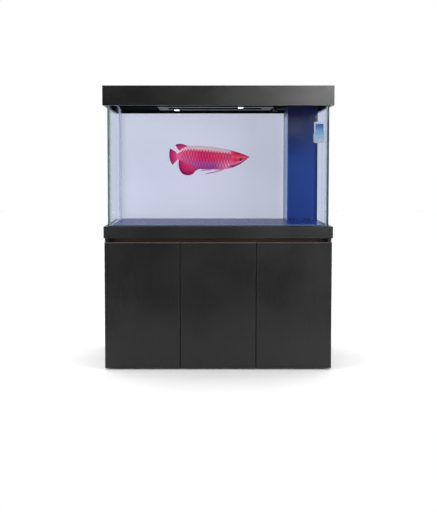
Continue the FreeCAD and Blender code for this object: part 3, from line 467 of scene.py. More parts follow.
@dataclass(frozen=True)
class Sheet(Finish):
    """Coloured plastic sheet with a faint drift of colour and fine scratches, and a glow on its front face that
    is painted light.
    """

    colour: Colour
    rough: float = 0.25
    drift: float = 0.12
    specular: float = 0.5
    glow: float = 0.0

    def mix(self, recipe: Recipe) -> None:
        """Lays out the nodes.

        Args:
            recipe: the material's nodes.
        """
        wide = recipe.noise(recipe.place(), 4.0, 2.0)
        fine = recipe.noise(recipe.place((1.0, 1.0, 0.15)), 420.0, 2.0)
        shade = recipe.shades(recipe.band(wide, 0.35, 0.7), WHITE, 1.0 - self.drift)
        colour = recipe.product(self.colour, shade)
        # painted light: the front face glows, evening out the shade and shadows cast on it
        front = recipe.calc("LESS_THAN", recipe.parts("TexCoord", "Normal")[1], -0.5)
        recipe.paint(colour, recipe.vary(fine, self.rough, self.rough + 0.08),
                     recipe.calc("MULTIPLY", front, self.glow))
        recipe.bump(fine, 0.00004, 0.4)
        recipe.put("Specular IOR Level", self.specular)


@dataclass(frozen=True)
class Silicone(Finish):
    """A half-clear bead of sealant."""

    name: str = "clear_silicone"
    colour: Colour = (0.60, 0.68, 0.76)
    cover: float = 0.10

    def mix(self, recipe: Recipe) -> None:
        """Lays out the nodes.

        Args:
            recipe: the material's nodes.
        """
        ripple = recipe.noise(recipe.place(), 130.0, 3.0)
        recipe.paint(recipe.shades(recipe.vary(ripple), self.colour, 0.85), recipe.vary(ripple, 0.25, 0.4))
        recipe.bump(ripple, 0.0004, 0.5)
        clear = recipe.node("BsdfTransparent")
        recipe.feed(clear.inputs["Color"], (0.985, 0.99, 1.0))
        covered = recipe.vary(ripple, self.cover, self.cover + 0.1)
        recipe.surface(recipe.layered(covered, clear, recipe.shader))


@dataclass(frozen=True)
class FloorSheet(Finish):
    """Blue sheet on the tank's floor, with a painted reflection of the overflow's blue beside the overflow, and
    dark along its back edge.
    """

    name: str = "floor_sheet_blue"
    colour: Colour = (0.014, 0.022, 0.250)
    painted_reflection_near_tower: Colour = (0.012, 0.075, 0.350)
    back: Colour = (0.030, 0.045, 0.110)
    tower_x: float = 0.41
    back_y: float = 0.270

    def mix(self, recipe: Recipe) -> None:
        """Lays out the nodes.

        Args:
            recipe: the material's nodes.
        """
        cloud = recipe.noise(recipe.place(), 5.0, 3.0)
        scratch = recipe.noise(recipe.drawn_out(Axis.X, 0.2), 300.0, 2.0)
        spot = recipe.spot()
        colour = recipe.shades(recipe.vary(cloud), self.colour, 0.9)
        # painted reflection: the overflow's blue on the floor beside it
        side = recipe.band(spot[0], self.tower_x - 0.05, self.tower_x + 0.01)
        colour = recipe.blend(side, colour, self.painted_reflection_near_tower)
        colour = recipe.blend(recipe.band(spot[1], self.back_y - 0.01, self.back_y), colour, self.back)
        recipe.paint(colour, recipe.vary(scratch, 0.22, 0.32))
        recipe.bump(scratch, 0.00003, 0.4)
        recipe.put("Specular IOR Level", 0.08)


@dataclass(frozen=True)
class TowerPanel(Finish):
    """Blue glass of the overflow, with painted light: painted shade makes it dark at the top, by its corner and
    over most of its side, and a painted reflection makes a pale, faintly glowing gleam along the middle of its
    side.
    """

    name: str = "tower_blue"
    # painted shade: the top and dark colours; painted reflection: the gleam colour; low is the panel's own blue
    top: Colour = (0.0135, 0.0160, 0.062)
    low: Colour = (0.0265, 0.0770, 0.320)
    gleam: Colour = (0.070, 0.185, 0.450)
    dark: Colour = (0.014, 0.042, 0.110)
    from_z: float = 1.12
    to_z: float = 1.42
    near_y: float = 0.066
    far_y: float = 0.195
    painted_shade_corner_x: Point = (0.575, 0.597)
    shade_z: Point = (1.47, 1.44)

    def mix(self, recipe: Recipe) -> None:
        """Lays out the nodes.

        Args:
            recipe: the material's nodes.
        """
        cloud = recipe.noise(recipe.drawn_out(Axis.Z, 0.4), 9.0, 4.0)
        x, y, z = recipe.spot()
        # painted shade: darker towards the top, under the hood
        rise = recipe.calc("ADD", recipe.band(z, self.from_z, self.to_z), recipe.vary(cloud, -0.1, 0.1))
        front = recipe.blend(rise, self.low, self.top)
        # painted shade by the corner
        front = recipe.blend(recipe.band(x, *self.painted_shade_corner_x), front, tinted(self.top, 1.1))
        # painted reflection: the gleam along the side, dimmed under the hood and glowing a little
        lit = recipe.calc("MULTIPLY", recipe.band(y, self.near_y - 0.006, self.near_y),
                          recipe.band(y, self.far_y + 0.012, self.far_y - 0.004))
        lit = recipe.calc("MULTIPLY", lit, recipe.band(z, *self.shade_z, (0.25, 1.0)))
        side = recipe.blend(lit, self.dark, self.gleam)
        sideways = recipe.band(recipe.facing(Axis.X), 0.45, 0.55)
        colour = recipe.blend(sideways, front, side)
        glow = recipe.calc("MULTIPLY", recipe.calc("MULTIPLY", sideways, lit), 0.2)
        recipe.paint(colour, recipe.vary(cloud, 0.16, 0.26), glow)
        recipe.bump(cloud, 0.0003, 0.2)
        recipe.put("Specular IOR Level", 0.3)


@dataclass(frozen=True)
class Moulded(Finish):
    """Moulded plastic or rubber with an eroded fine grain."""

    colour: Colour
    rough: float = 0.42
    grain: float = 900.0
    depth: float = 0.00012
    mottle: float = 0.16

    def mix(self, recipe: Recipe) -> None:
        """Lays out the nodes.

        Args:
            recipe: the material's nodes.
        """
        place = recipe.place()
        grain = recipe.noise(place, self.grain, 3.0)
        smudge = recipe.noise(place, 14.0, 5.0)
        patches = recipe.band(smudge, 0.32, 0.7)
        recipe.paint(recipe.shades(patches, self.colour, 1.0 - self.mottle, 1.0 + self.mottle),
                     recipe.band(smudge, 0.3, 0.75, (self.rough - 0.08, self.rough + 0.1)))
        recipe.bump(grain, self.depth, 0.6)


@dataclass(frozen=True)
class Metal(Finish):
    """Plated or anodised metal, brushed along one axis."""

    colour: Colour
    brushed: Axis = Axis.X
    rough: float = 0.28

    def mix(self, recipe: Recipe) -> None:
        """Lays out the nodes.

        Args:
            recipe: the material's nodes.
        """
        lines = recipe.noise(recipe.drawn_out(self.brushed, 0.02), 1900.0, 3.0)
        stain = recipe.noise(recipe.place(), 60.0, 4.0)
        recipe.paint(recipe.shades(recipe.band(stain, 0.35, 0.7), self.colour, 0.82),
                     recipe.vary(lines, self.rough - 0.06, self.rough + 0.12))
        recipe.bump(lines, 0.00003, 0.5)
        recipe.put("Metallic", 1.0)


@dataclass(frozen=True)
class SawnWood(Finish):
    """Bare timber with rings and fibres."""

    colour: Colour
    grain: Axis

    def mix(self, recipe: Recipe) -> None:
        """Lays out the nodes.

        Args:
            recipe: the material's nodes.
        """
        place = recipe.drawn_out(self.grain, 0.06)
        rings = recipe.noise(place, 70.0, 4.0)
        fibres = recipe.noise(place, 900.0, 4.0)
        wood = recipe.shades(recipe.band(rings, 0.38, 0.62), self.colour, 0.62, 1.15)
        cracks = recipe.band(fibres, 0.4, 0.75, (0.0, 0.5))
        recipe.paint(recipe.blend(cracks, wood, tinted(self.colour, 0.45)), recipe.vary(fibres, 0.6, 0.8))
        recipe.bump(fibres, 0.0004, 0.6)


@dataclass(frozen=True)
class Wool(Finish):
    """Felted filter wool, foam or sponge."""

    colour: Colour
    cell: float = 420.0
    depth: float = 0.0025

    def mix(self, recipe: Recipe) -> None:
        """Lays out the nodes.

        Args:
            recipe: the material's nodes.
        """
        place = recipe.place()
        cells = recipe.noise(place, self.cell, 6.0)
        stain = recipe.noise(place, 11.0, 4.0)
        colour = recipe.shades(recipe.band(cells, 0.35, 0.6), self.colour, 0.45)
        stained = recipe.band(stain, 0.45, 0.75, (0.0, 0.5))
        recipe.paint(recipe.blend(stained, colour, tinted(self.colour, 0.6)), 0.92)
        recipe.bump(cells, self.depth, 0.9)


@dataclass(frozen=True)
class Glowing(Finish):
    """A lit or switched-off diffuser with a fine prism pattern."""

    colour: Colour
    strength: float
    prism: float = 700.0

    def mix(self, recipe: Recipe) -> None:
        """Lays out the nodes.

        Args:
            recipe: the material's nodes.
        """
        ribs = recipe.noise(recipe.drawn_out(Axis.Y, 0.1), self.prism, 1.0)
        recipe.paint(recipe.shades(recipe.band(ribs, 0.35, 0.65), self.colour, 0.8), 0.3, self.strength)
        recipe.bump(ribs, 0.0002, 0.5)


@dataclass(frozen=True)
class Display(Finish):
    """Backlit display, dark at the top and pale at the bottom, under a clear window."""

    low_z: float
    high_z: float
    top: Colour = (0.022, 0.095, 0.36)
    bottom: Colour = (0.22, 0.43, 0.62)

    def mix(self, recipe: Recipe) -> None:
        """Lays out the nodes.

        Args:
            recipe: the material's nodes.
        """
        soft = recipe.noise(recipe.place(), 55.0, 3.0)
        rise = recipe.band(recipe.spot()[2], self.low_z, self.high_z)
        uneven = recipe.calc("ADD", rise, recipe.vary(soft, -0.12, 0.12))
        recipe.paint(recipe.blend(recipe.band(uneven, 0.25, 0.95), self.bottom, self.top), 0.12, 0.12)
        recipe.put("Coat Weight", 0.6)


@dataclass(frozen=True)
class FishSkin(Finish):
    """Wet scales: crimson on the side, violet under the belly, red on the head, with painted light: a painted
    highlight makes the back pale, painted glints sit on its scales, painted shade darkens its creases, and the
    skin glows.
    """

    name: str = "arowana_skin"
    side: Colour = (0.72, 0.017, 0.125)
    # painted highlight: the pale back colour; the shine colour is a painted glint and the dark colour painted
    # shade
    back: Colour = (1.00, 0.74, 0.82)
    belly: Colour = (0.38, 0.070, 0.30)
    head: Colour = (0.66, 0.007, 0.070)
    chin: Colour = (0.92, 0.25, 0.43)
    rear: Colour = (0.82, 0.11, 0.26)
    rim: Colour = (0.12, 0.002, 0.045)
    shine: Colour = (1.0, 0.80, 0.86)
    dark: Colour = (0.09, 0.012, 0.10)
    # painted light: the skin's glow
    glow: float = 0.30

    def mix(self, recipe: Recipe) -> None:
        """Lays out the nodes.

        Args:
            recipe: the material's nodes.
        """
        along, up, _ = recipe.lie()
        flake = recipe.noise(recipe.place(), 160.0, 4.0)
        colour = recipe.blend(recipe.band(up, 0.26, 0.42), self.belly, self.side)
        flank = recipe.calc("MULTIPLY", recipe.band(along, 0.52, 0.70), recipe.band(up, 0.5, 0.2))
        colour = recipe.blend(flank, colour, self.chin)
        colour = recipe.blend(recipe.band(along, 0.34, 0.10, (0.0, 0.85)), colour, self.rear)
        # painted highlight along the back
        back_highlight_mask = recipe.calc("MULTIPLY", recipe.band(up, 0.76, 0.92), recipe.band(along, 0.84, 0.66))
        colour = recipe.blend(back_highlight_mask, colour, self.back)
        colour = recipe.blend(recipe.band(along, 0.72, 0.80), colour, self.head)
        jaw = recipe.calc("MULTIPLY", recipe.band(along, 0.72, 0.82), recipe.band(up, 0.36, 0.12))
        colour = recipe.blend(jaw, colour, self.chin)
        # rim marks are the scales' own dark rims; shine marks are painted glints and dark marks painted shade
        marks = (("rim", 0.9, self.rim), ("shine", 0.8, self.shine), ("dark", 1.0, self.dark))
        for pattern, share, shade in marks:
            amount = recipe.node("Attribute", attribute_name=pattern).outputs["Fac"]
            colour = recipe.blend(recipe.calc("MULTIPLY", amount, share), colour, shade)
        # painted light: the skin glows with its own colour
        recipe.paint(colour, recipe.vary(flake, 0.36, 0.50), self.glow)
        recipe.bump(flake, 0.0004, 0.4)
        for name, value in (("Specular IOR Level", 0.15), ("Coat Weight", 0.05), ("Coat Roughness", 0.25),
                            ("Subsurface Weight", 0.08)):
            recipe.put(name, value)
        recipe.shader.inputs["Subsurface Radius"].default_value = (0.006, 0.002, 0.002)


@dataclass(frozen=True)
class FinSkin(Finish):
    """Thin fin skin with rays, darker at its outer rim, glowing as painted light."""

    root: Colour
    tip: Colour
    rim: Colour
    rays: float
    clear: float = 0.0

    def mix(self, recipe: Recipe) -> None:
        """Lays out the nodes.

        Args:
            recipe: the material's nodes.
        """
        across, out, _ = recipe.lie()
        wave = recipe.calc("SINE", recipe.calc("MULTIPLY", across, self.rays * math.tau))
        ray = recipe.band(wave, 0.1, 0.9)
        flake = recipe.noise(recipe.place(), 240.0, 4.0)
        colour = recipe.blend(recipe.band(out, 0.05, 0.75), self.root, self.tip)
        colour = recipe.blend(recipe.calc("MULTIPLY", ray, 0.42), colour, self.rim)
        colour = recipe.blend(recipe.band(out, 0.80, 0.94), colour, self.rim)
        # painted light: the fin glows
        recipe.paint(colour, recipe.vary(flake, 0.25, 0.42), 0.32)
        relief = recipe.calc("ADD", recipe.calc("MULTIPLY", ray, 0.7), recipe.calc("MULTIPLY", flake, 0.3))
        recipe.bump(relief, 0.0006)
        recipe.put("Specular IOR Level", 0.15)
        recipe.put("Coat Weight", 0.04)
        if self.clear > 0.0:
            recipe.put("Alpha", recipe.band(ray, 0.0, 1.0, (1.0 - self.clear, 0.9)))


# ---- mesh helpers -------------------------------------------------------------------------
def finish_mesh(name: str, mesh: bmesh.types.BMesh, material: bpy.types.Material,
                smooth: bool = True) -> bpy.types.Object:
    """Turns a bmesh into an object at the origin.

    Args:
        name: the piece's name.
        mesh: the bmesh, which is freed.
        material: what it is made of.
        smooth: whether its faces are shaded smooth.

    Returns:
        The new object.
    """
    data = bpy.data.meshes.new(name)
    mesh.to_mesh(data)
    mesh.free()
    data.materials.append(material)
    for face in data.polygons:
        face.use_smooth = smooth
    piece = bpy.data.objects.new(name, data)
    bpy.context.scene.collection.objects.link(piece)
    return piece


def seat(piece: bpy.types.Object, body: str) -> bpy.types.Object:
    """Rides a piece on a body.

    Args:
        piece: the new piece.
        body: the body that carries it.

    Returns:
        The same piece.
    """
    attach(piece, body)
    LOG.info("%s rides on %s: %d faces", piece.name, body, len(piece.data.polygons))
    return piece


def smooth_curve(points: Sequence[Sequence[float]], t: float) -> list[float]:
    """A point on the Catmull-Rom curve through a few points.

    Args:
        points: the points, each a list of numbers.
        t: from 0 at the first point to 1 at the last.

    Returns:
        The numbers at t.
    """
    last = len(points) - 1
    place = min(max(t, 0.0), 1.0) * last
    i = min(int(place), last - 1)
    f = place - i
    near = [points[max(i - 1, 0)], points[i], points[i + 1], points[min(i + 2, last)]]
    out = []
    for a, b, c, d in zip(*near):
        out.append(0.5 * (2 * b + (c - a) * f + (2 * a - 5 * b + 4 * c - d) * f * f
                          + (3 * b - a - 3 * c + d) * f ** 3))
    return out


def rounded_block(mesh: bmesh.types.BMesh, low: Vector, high: Vector, radius: float,
                  segments: int = 3) -> None:
    """Adds a block with rounded edges to a bmesh.

    Args:
        mesh: the bmesh to add to.
        low: the block's lowest corner.
        high: the block's highest corner.
        radius: the edges' radius.
        segments: steps in each rounded edge.
    """
    size = high - low
    matrix = Matrix.Translation((low + high) / 2) @ Matrix.Diagonal((*size, 1.0))
    made = bmesh.ops.create_cube(mesh, size=1.0, matrix=matrix)
    edges = list({edge for vertex in made["verts"] for edge in vertex.link_edges})
    bmesh.ops.bevel(mesh, geom=edges, offset=radius, segments=segments, affect="EDGES", profile=0.5,
                    material=-1)


def turned(mesh: bmesh.types.BMesh, profile: Sequence[Point], centre: Vector, axis: Axis,
           steps: int = 32) -> None:
    """Adds a shape turned about an axis to a bmesh.

    Args:
        mesh: the bmesh to add to.
        profile: radius and height of each corner; it is closed unless it starts and ends on the axis.
        centre: where radius and height are both zero.
        axis: the direction of the heights.
        steps: how many steps a full turn has.
    """
    along = Vector([1.0 if k is axis else 0.0 for k in Axis])
    out = Vector([1.0 if k.value == (axis.value + 1) % 3 else 0.0 for k in Axis])
    single = bmesh.new()
    corners = [single.verts.new(centre + out * r + along * h) for r, h in profile]
    pairs = list(zip(corners, corners[1:]))
    if profile[0][0] > 0.0 or profile[-1][0] > 0.0:
        pairs.append((corners[-1], corners[0]))
    edges = [single.edges.new(pair) for pair in pairs]
    bmesh.ops.spin(single, geom=corners + edges, cent=centre, axis=along, angle=math.tau, steps=steps,
                   use_merge=True)
    bmesh.ops.remove_doubles(single, verts=single.verts, dist=SAME_PLACE)
    bmesh.ops.recalc_face_normals(single, faces=single.faces)
    copied = {vertex: mesh.verts.new(vertex.co) for vertex in single.verts}
    for face in single.faces:
        mesh.faces.new([copied[vertex] for vertex in face.verts])
    single.free()


# ---- fish ---------------------------------------------------------------------------------
@dataclass
class Arowana:
    """The fish, drawn in millimetres from its tail's tip and from its lowest fin."""

    body: str = "fish"
    length: float = 472.0
    height: float = 183.0
    rings: int = 230
    around: int = 96
    scale_pitch: float = 17.0
    scale_rows: float = 7.0
    scale_lift: float = 2.0
    gill_x: float = 371.0
    eye: Point = (419.5, 93.0)
    eye_radius: float = 10.0
    ray_columns: int = 4
    fin_rows: int = 18
    profile: tuple = (
        (42.0, 3.0, 93.0, 133.0), (60.0, 7.5, 89.0, 142.0), (77.0, 12.0, 81.0, 155.0),
        (112.0, 20.0, 62.0, 169.0), (172.0, 29.0, 37.0, 171.0), (242.0, 33.0, 35.0, 165.0),
        (312.0, 31.0, 33.0, 156.0), (372.0, 25.0, 44.0, 144.0), (422.0, 16.5, 66.0, 129.0),
        (454.0, 8.5, 90.0, 117.0), (471.0, 2.0, 105.5, 109.5),
    )
    lowest: Vector = field(default_factory=lambda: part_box("arowana")[0])
    highest: Vector = field(default_factory=lambda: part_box("arowana")[1])

    def at(self, x: float, z: float, y: float = 0.0) -> Vector:
        """A point of the drawing, in the frame.

        Args:
            x: millimetres from the tail's tip.
            z: millimetres up from the lowest fin.
            y: millimetres from the middle plane, away from the viewer.

        Returns:
            The point in metres.
        """
        low, high = Vector(self.lowest), Vector(self.highest)
        return Vector((low.x + (high.x - low.x) * x / self.length, (low.y + high.y) / 2 + y * MM,
                       low.z + (high.z - low.z) * z / self.height))

    def section(self, u: float) -> tuple[float, float, float, float]:
        """The body's section.

        Args:
            u: from 0 at the tail's root to 1 at the nose.

        Returns:
            Its place, half thickness, middle height and half height, in millimetres.
        """
        spread = (self.profile[0][0], self.profile[-1][0])
        x = spread[0] + (spread[1] - spread[0]) * u
        for step, (near, far) in enumerate(zip(self.profile, self.profile[1:])):
            if x <= far[0] or far is self.profile[-1]:
                share = (x - near[0]) / (far[0] - near[0])
                values = smooth_curve(self.profile, (step + share) / (len(self.profile) - 1))
                break
        _, half, low, high = values
        return x, max(half, 1.2), (low + high) / 2, max((high - low) / 2, 1.5)

    def relief(self, x: float, angle: float) -> tuple[float, float, float]:
        """The scales and creases.

        Args:
            x: millimetres from the tail's tip.
            angle: round the body, 0 on the viewer's far side and a quarter turn at the back.

        Returns:
            How far the skin stands out in millimetres, how much it is a scale's rim, and how much painted
            highlight it takes.
        """
        row = angle / math.tau * self.scale_rows * 2.0
        index = math.floor(row)
        across = (row - index) * 2.0 - 1.0
        phase = -x / self.scale_pitch + 0.5 * (index % 2) - 0.36 * across * across
        phase -= math.floor(phase)
        fade = min(1.0, max(0.0, (self.gill_x - 4.0 - x) / 10.0)) * min(1.0, max(0.0, (x - 52.0) / 30.0))
        lift = self.scale_lift * (phase ** 1.5) * (1.0 - 0.35 * across * across) * fade
        rim = max(0.0, (phase - 0.52) / 0.48) ** 0.9 * fade
        # painted highlight: a glint on each scale
        shine = max(0.0, 1.0 - abs(phase - 0.28) / 0.28) * fade
        return lift, rim, shine

    def build_body(self) -> bpy.types.Object:
        """Bridges rings into the body, raises its scales, gill cover and mouth, and writes its patterns.

        Returns:
            The body piece.
        """
        keys = ("rim", "shine", "dark")
        mesh = bmesh.new()
        layer = mesh.loops.layers.uv.new("lie")
        for key in keys:
            mesh.verts.layers.float.new(key)
        loops = []
        for _ in range(self.rings):
            made = bmesh.ops.create_circle(mesh, segments=self.around, radius=1.0, cap_ends=False)
            loops.append(made["verts"])
        stand = {}
        for i, loop in enumerate(loops):
            x, half, middle, tall = self.section(i / (self.rings - 1))
            for vertex in loop:
                angle = math.atan2(vertex.co.y, vertex.co.x) % math.tau
                lift, rim, shine = self.relief(x, angle)
                wide, rise = math.cos(angle), math.sin(angle)
                keel = 1.0 - 0.22 * max(0.0, -rise) ** 2
                y = (half * abs(wide) ** 0.82 * keel + lift * abs(wide)) * math.copysign(1.0, wide)
                z = middle + tall * rise + lift * rise * 0.4
                dark, y = self.creases(x, z, y, middle, tall)
                # painted highlight: the glints are kept to the back
                back = min(1.0, max(0.0, (rise - 0.55) / 0.25))
                stand[vertex] = (x, (rise + 1.0) / 2.0, rim, shine * back, dark)
                vertex.co = self.at(x, z, y)
        for first, second in zip(loops, loops[1:]):
            bmesh.ops.bridge_loops(mesh, edges=[*mesh_edges(first), *mesh_edges(second)])
        for loop in (loops[0], loops[-1]):
            bmesh.ops.contextual_create(mesh, geom=list(mesh_edges(loop)))
        bmesh.ops.recalc_face_normals(mesh, faces=mesh.faces)
        patterns = [mesh.verts.layers.float[key] for key in keys]
        span = self.profile[-1][0] - self.profile[0][0]
        for vertex, (x, up, *marks) in stand.items():
            for pattern, mark in zip(patterns, marks):
                vertex[pattern] = mark
            for corner in vertex.link_loops:
                corner[layer].uv = ((x - self.profile[0][0]) / span, up)
        piece = finish_mesh("arowana_body", mesh, FishSkin().build())
        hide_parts("arowana")
        return seat(piece, self.body)

    def creases(self, x: float, z: float, y: float, middle: float, tall: float) -> tuple[float, float]:
        """The gill cover's edge, the mouth's line and the dark line along the jaw.

        Args:
            x: millimetres from the tail's tip.
            z: millimetres up from the lowest fin.
            y: millimetres from the middle plane.
            middle: the section's middle height.
            tall: the section's half height.

        Returns:
            How dark the skin is there, mostly painted shade, and the new y.
        """
        bulge = 15.0 * (1.0 - ((z - middle) / max(tall, 1.0)) ** 2)
        gill = abs(x - (self.gill_x - bulge + 6.0))
        gill_cut = max(0.0, 1.0 - gill / 2.6)
        cover = 1.0 if 0.0 < x - (self.gill_x - bulge + 6.0) < 26.0 else 0.0
        mouth_z = 107.5 + (x - 471.0) * 0.78
        mouth = max(0.0, 1.0 - abs(z - mouth_z) / 1.7) if x > 436.0 else 0.0
        jaw_edge = min(1.0, max(0.0, 2.2 - (z - (middle - tall)) / (0.14 * tall + 2.0)))
        jaw_edge *= min(1.0, max(0.0, (x - 335.0) / 40.0))
        brow = max(0.0, 1.3 - ((middle + tall) - z) / (0.12 * tall + 1.5)) if x > 395.0 else 0.0
        depth = 1.1 * gill_cut + 1.3 * mouth - 0.6 * cover
        # painted shade: darkness in the gill and mouth creases and along the jaw's lower edge; darker also
        # along the brow
        dark = min(1.0, 0.55 * gill_cut + 0.8 * mouth + 0.9 * jaw_edge + 0.6 * brow)
        return dark, y - math.copysign(min(abs(y) * 0.5, depth) if depth > 0 else depth, y)

    def fin(self, name: str, root: Sequence[Point], rim: Sequence[Point], skin: FinSkin, rays: int,
            thick: float, wave: float = 0.0, lean: float = 0.0, side: float = 0.0) -> bpy.types.Object:
        """A fin between its root line and its outer rim, with raised rays.

        Args:
            name: the piece's name.
            root: points x, z along the root.
            rim: points x, z along the outer rim.
            skin: its finish.
            rays: how many rays it has.
            thick: thickness in millimetres at the root.
            wave: how far it waves to either side, in millimetres.
            lean: how far its rim stands out from the middle plane, in millimetres.
            side: where its root is from the middle plane, in millimetres.

        Returns:
            The fin piece.
        """
        mesh = bmesh.new()
        layer = mesh.loops.layers.uv.new("lie")
        bmesh.ops.create_grid(mesh, x_segments=rays * self.ray_columns, y_segments=self.fin_rows, size=0.5)
        place = {v: (v.co.x + 0.5, v.co.y + 0.5) for v in mesh.verts}
        for vertex, (t, s) in place.items():
            near, far = smooth_curve(root, t), smooth_curve(rim, t)
            x, z = (near[k] + (far[k] - near[k]) * s for k in (0, 1))
            y = side + lean * s + wave * s * math.sin(t * 5.0 + s * 2.2)
            vertex.co = self.at(x, z, y)
        for vertex, uv in place.items():
            for corner in vertex.link_loops:
                corner[layer].uv = uv
        bmesh.ops.solidify(mesh, geom=list(mesh.faces), thickness=thick * MM)
        bmesh.ops.recalc_face_normals(mesh, faces=mesh.faces)
        return seat(finish_mesh(name, mesh, skin.build()), self.body)

    def build_fins(self) -> None:
        """The seven fins: tail, dorsal, anal, and the pectoral and pelvic pairs."""
        deep, dark = (0.60, 0.008, 0.135), (0.13, 0.004, 0.065)
        pink = (0.82, 0.07, 0.23)
        tail = FinSkin("tail_fin_skin", pink, deep, dark, 13.0)
        self.fin("arowana_tail_fin", ((50, 131), (47, 113), (50, 94)),
                 ((6, 157), (1.5, 140), (0.5, 121), (3, 98), (10, 78), (21, 62)), tail, 14, 1.6, 2.5)
        dorsal = FinSkin("dorsal_fin_skin", pink, deep, dark, 11.0)
        self.fin("arowana_dorsal_fin", ((118, 165), (98, 160), (82, 152), (66, 141)),
                 ((116, 168), (80, 182), (56, 182.5), (38, 177), (49, 160), (61, 143)), dorsal, 12, 1.6, 2.0)
        anal = FinSkin("anal_fin_skin", (0.76, 0.045, 0.19), (0.52, 0.005, 0.10), dark, 22.0)
        self.fin("arowana_anal_fin", ((178, 44), (150, 60), (120, 74), (90, 88), (62, 102)),
                 ((176, 37), (156, 27), (138, 8), (110, 0.5), (82, 8), (65, 26), (56, 56), (56, 84),
                  (61, 98)), anal, 22, 1.6, 2.5)
        pale = FinSkin("paired_fin_skin", (0.86, 0.30, 0.42), (0.78, 0.45, 0.62), (0.40, 0.10, 0.36), 7.0,
                       0.35)
        for word, side in SIDES:
            self.fin("arowana_pectoral_fin_" + word, ((349, 45), (342, 40)),
                     ((300, 24), (255, 13), (212, 8.5), (262, 22), (322, 34)), pale, 7, 1.0, 2.0,
                     side * 12, side * 12)
            self.fin("arowana_pelvic_fin_" + word, ((272, 37), (263, 36)),
                     ((240, 29), (205, 27), (184, 26), (212, 32), (246, 36)), pale, 6, 1.0, 1.0,
                     side * 6, side * 9)

    def build_eyes(self) -> None:
        """Two eyes: a bulging dark red ball with a black pupil."""
        ball = Moulded("arowana_iris", (0.07, 0.004, 0.010), 0.45, 500.0, 0.00002, 0.05).build()
        black = Moulded("arowana_pupil", (0.006, 0.003, 0.006), 0.35, 500.0, 0.00001, 0.05).build()
        for word, side in SIDES:
            for part, size, out, material in (("eye", 1.0, 15.2, ball), ("pupil", 0.62, 17.4, black)):
                mesh = bmesh.new()
                radius = self.eye_radius * size * MM
                place = Matrix.Translation(self.at(*self.eye, side * out))
                flattened = Matrix.Diagonal((1.15, 0.42, 0.9, 1.0))
                bmesh.ops.create_uvsphere(mesh, u_segments=32, v_segments=16, radius=radius,
                                          matrix=place @ flattened)
                seat(finish_mesh(f"arowana_{part}_{word}", mesh, material), self.body)

    def build_barbels(self) -> None:
        """Two short whiskers at the tip of the lower jaw."""
        skin = Moulded("arowana_barbel", (0.62, 0.03, 0.10), 0.3, 500.0, 0.00005, 0.2).build()
        for word, side in SIDES:
            mesh = bmesh.new()
            bmesh.ops.create_cone(mesh, cap_ends=True, segments=12, radius1=1.1 * MM, radius2=0.35 * MM,
                                  depth=1.0)
            lengthwise = [e for e in mesh.edges if abs(e.verts[0].co.z - e.verts[1].co.z) > 0.5]
            bmesh.ops.subdivide_edges(mesh, edges=lengthwise, cuts=8)
            for vertex in mesh.verts:
                t = vertex.co.z + 0.5
                spine = self.at(463 + 11 * t, 98 + 3 * t + 6 * t * t, side * (2.0 + 3.5 * t))
                vertex.co = spine + Vector((0.0, vertex.co.x, vertex.co.y))
            bmesh.ops.recalc_face_normals(mesh, faces=mesh.faces)
            seat(finish_mesh("arowana_barbel_" + word, mesh, skin), self.body)

    def build(self) -> None:
        """Makes the whole fish."""
        self.build_body()
        self.build_fins()
        self.build_eyes()
        self.build_barbels()


def mesh_edges(loop: Iterable[bmesh.types.BMVert]) -> set[bmesh.types.BMEdge]:
    """The edges between the vertices of one ring."""
    ring = set(loop)
    return {edge for vertex in ring for edge in vertex.link_edges if edge.other_vert(vertex) in ring}


# ---- lamp ---------------------------------------------------------------------------------
@dataclass
class LampModules:
    """The two small lit windows that stand under the lamp's lenses."""

    width: float = 0.030
    depth: float = 0.018
    drop: float = 0.005
    front_x: float = 0.1335
    rear_x: float = -0.2405

    def build(self) -> None:
        """Makes a rounded window under each bar."""
        low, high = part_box("lamp_lenses")
        lit = Glowing("lamp_window_light", (1.0, 1.0, 1.0), 2.0).build()
        windows = (("front", self.front_x, low[1] + self.depth), ("rear", self.rear_x, high[1] - self.depth))
        for word, x, y in windows:
            mesh = bmesh.new()
            corner = Vector((x - self.width / 2, y - self.depth / 2, low[2] - self.drop))
            rounded_block(mesh, corner, corner + Vector((self.width, self.depth, self.drop + 0.001)), 0.002)
            seat(finish_mesh("lamp_window_" + word, mesh, lit), "hood")


@dataclass
class IntakeGrommets:
    """Black strainer cups set in the four low holes of the overflow's front panel."""

    offsets: tuple = (0.017, 0.039, 0.104, 0.127)
    rise: float = 0.015
    radius: float = 0.0063
    panel: float = 0.008

    def build(self) -> None:
        """Turns each cup about its hole and puts them all in one piece."""
        low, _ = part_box("overflow_panels")
        r, back = self.radius, self.panel
        profile = ((0.0, back + 0.0012), (r + 0.0030, back + 0.0012), (r + 0.0030, back + 0.0002),
                   (r, back + 0.0002), (r, 0.0002), (r - 0.0006, 0.0002), (r - 0.0006, back - 0.0006),
                   (0.0, back - 0.0006))
        mesh = bmesh.new()
        for offset in self.offsets:
            turned(mesh, profile, Vector((low[0] + offset, low[1], low[2] + self.rise)), Axis.Y)
        black = Moulded("strainer_black", (0.001, 0.002, 0.006), 0.7).build()
        seat(finish_mesh("tower_intake_cups", mesh, black), "root")


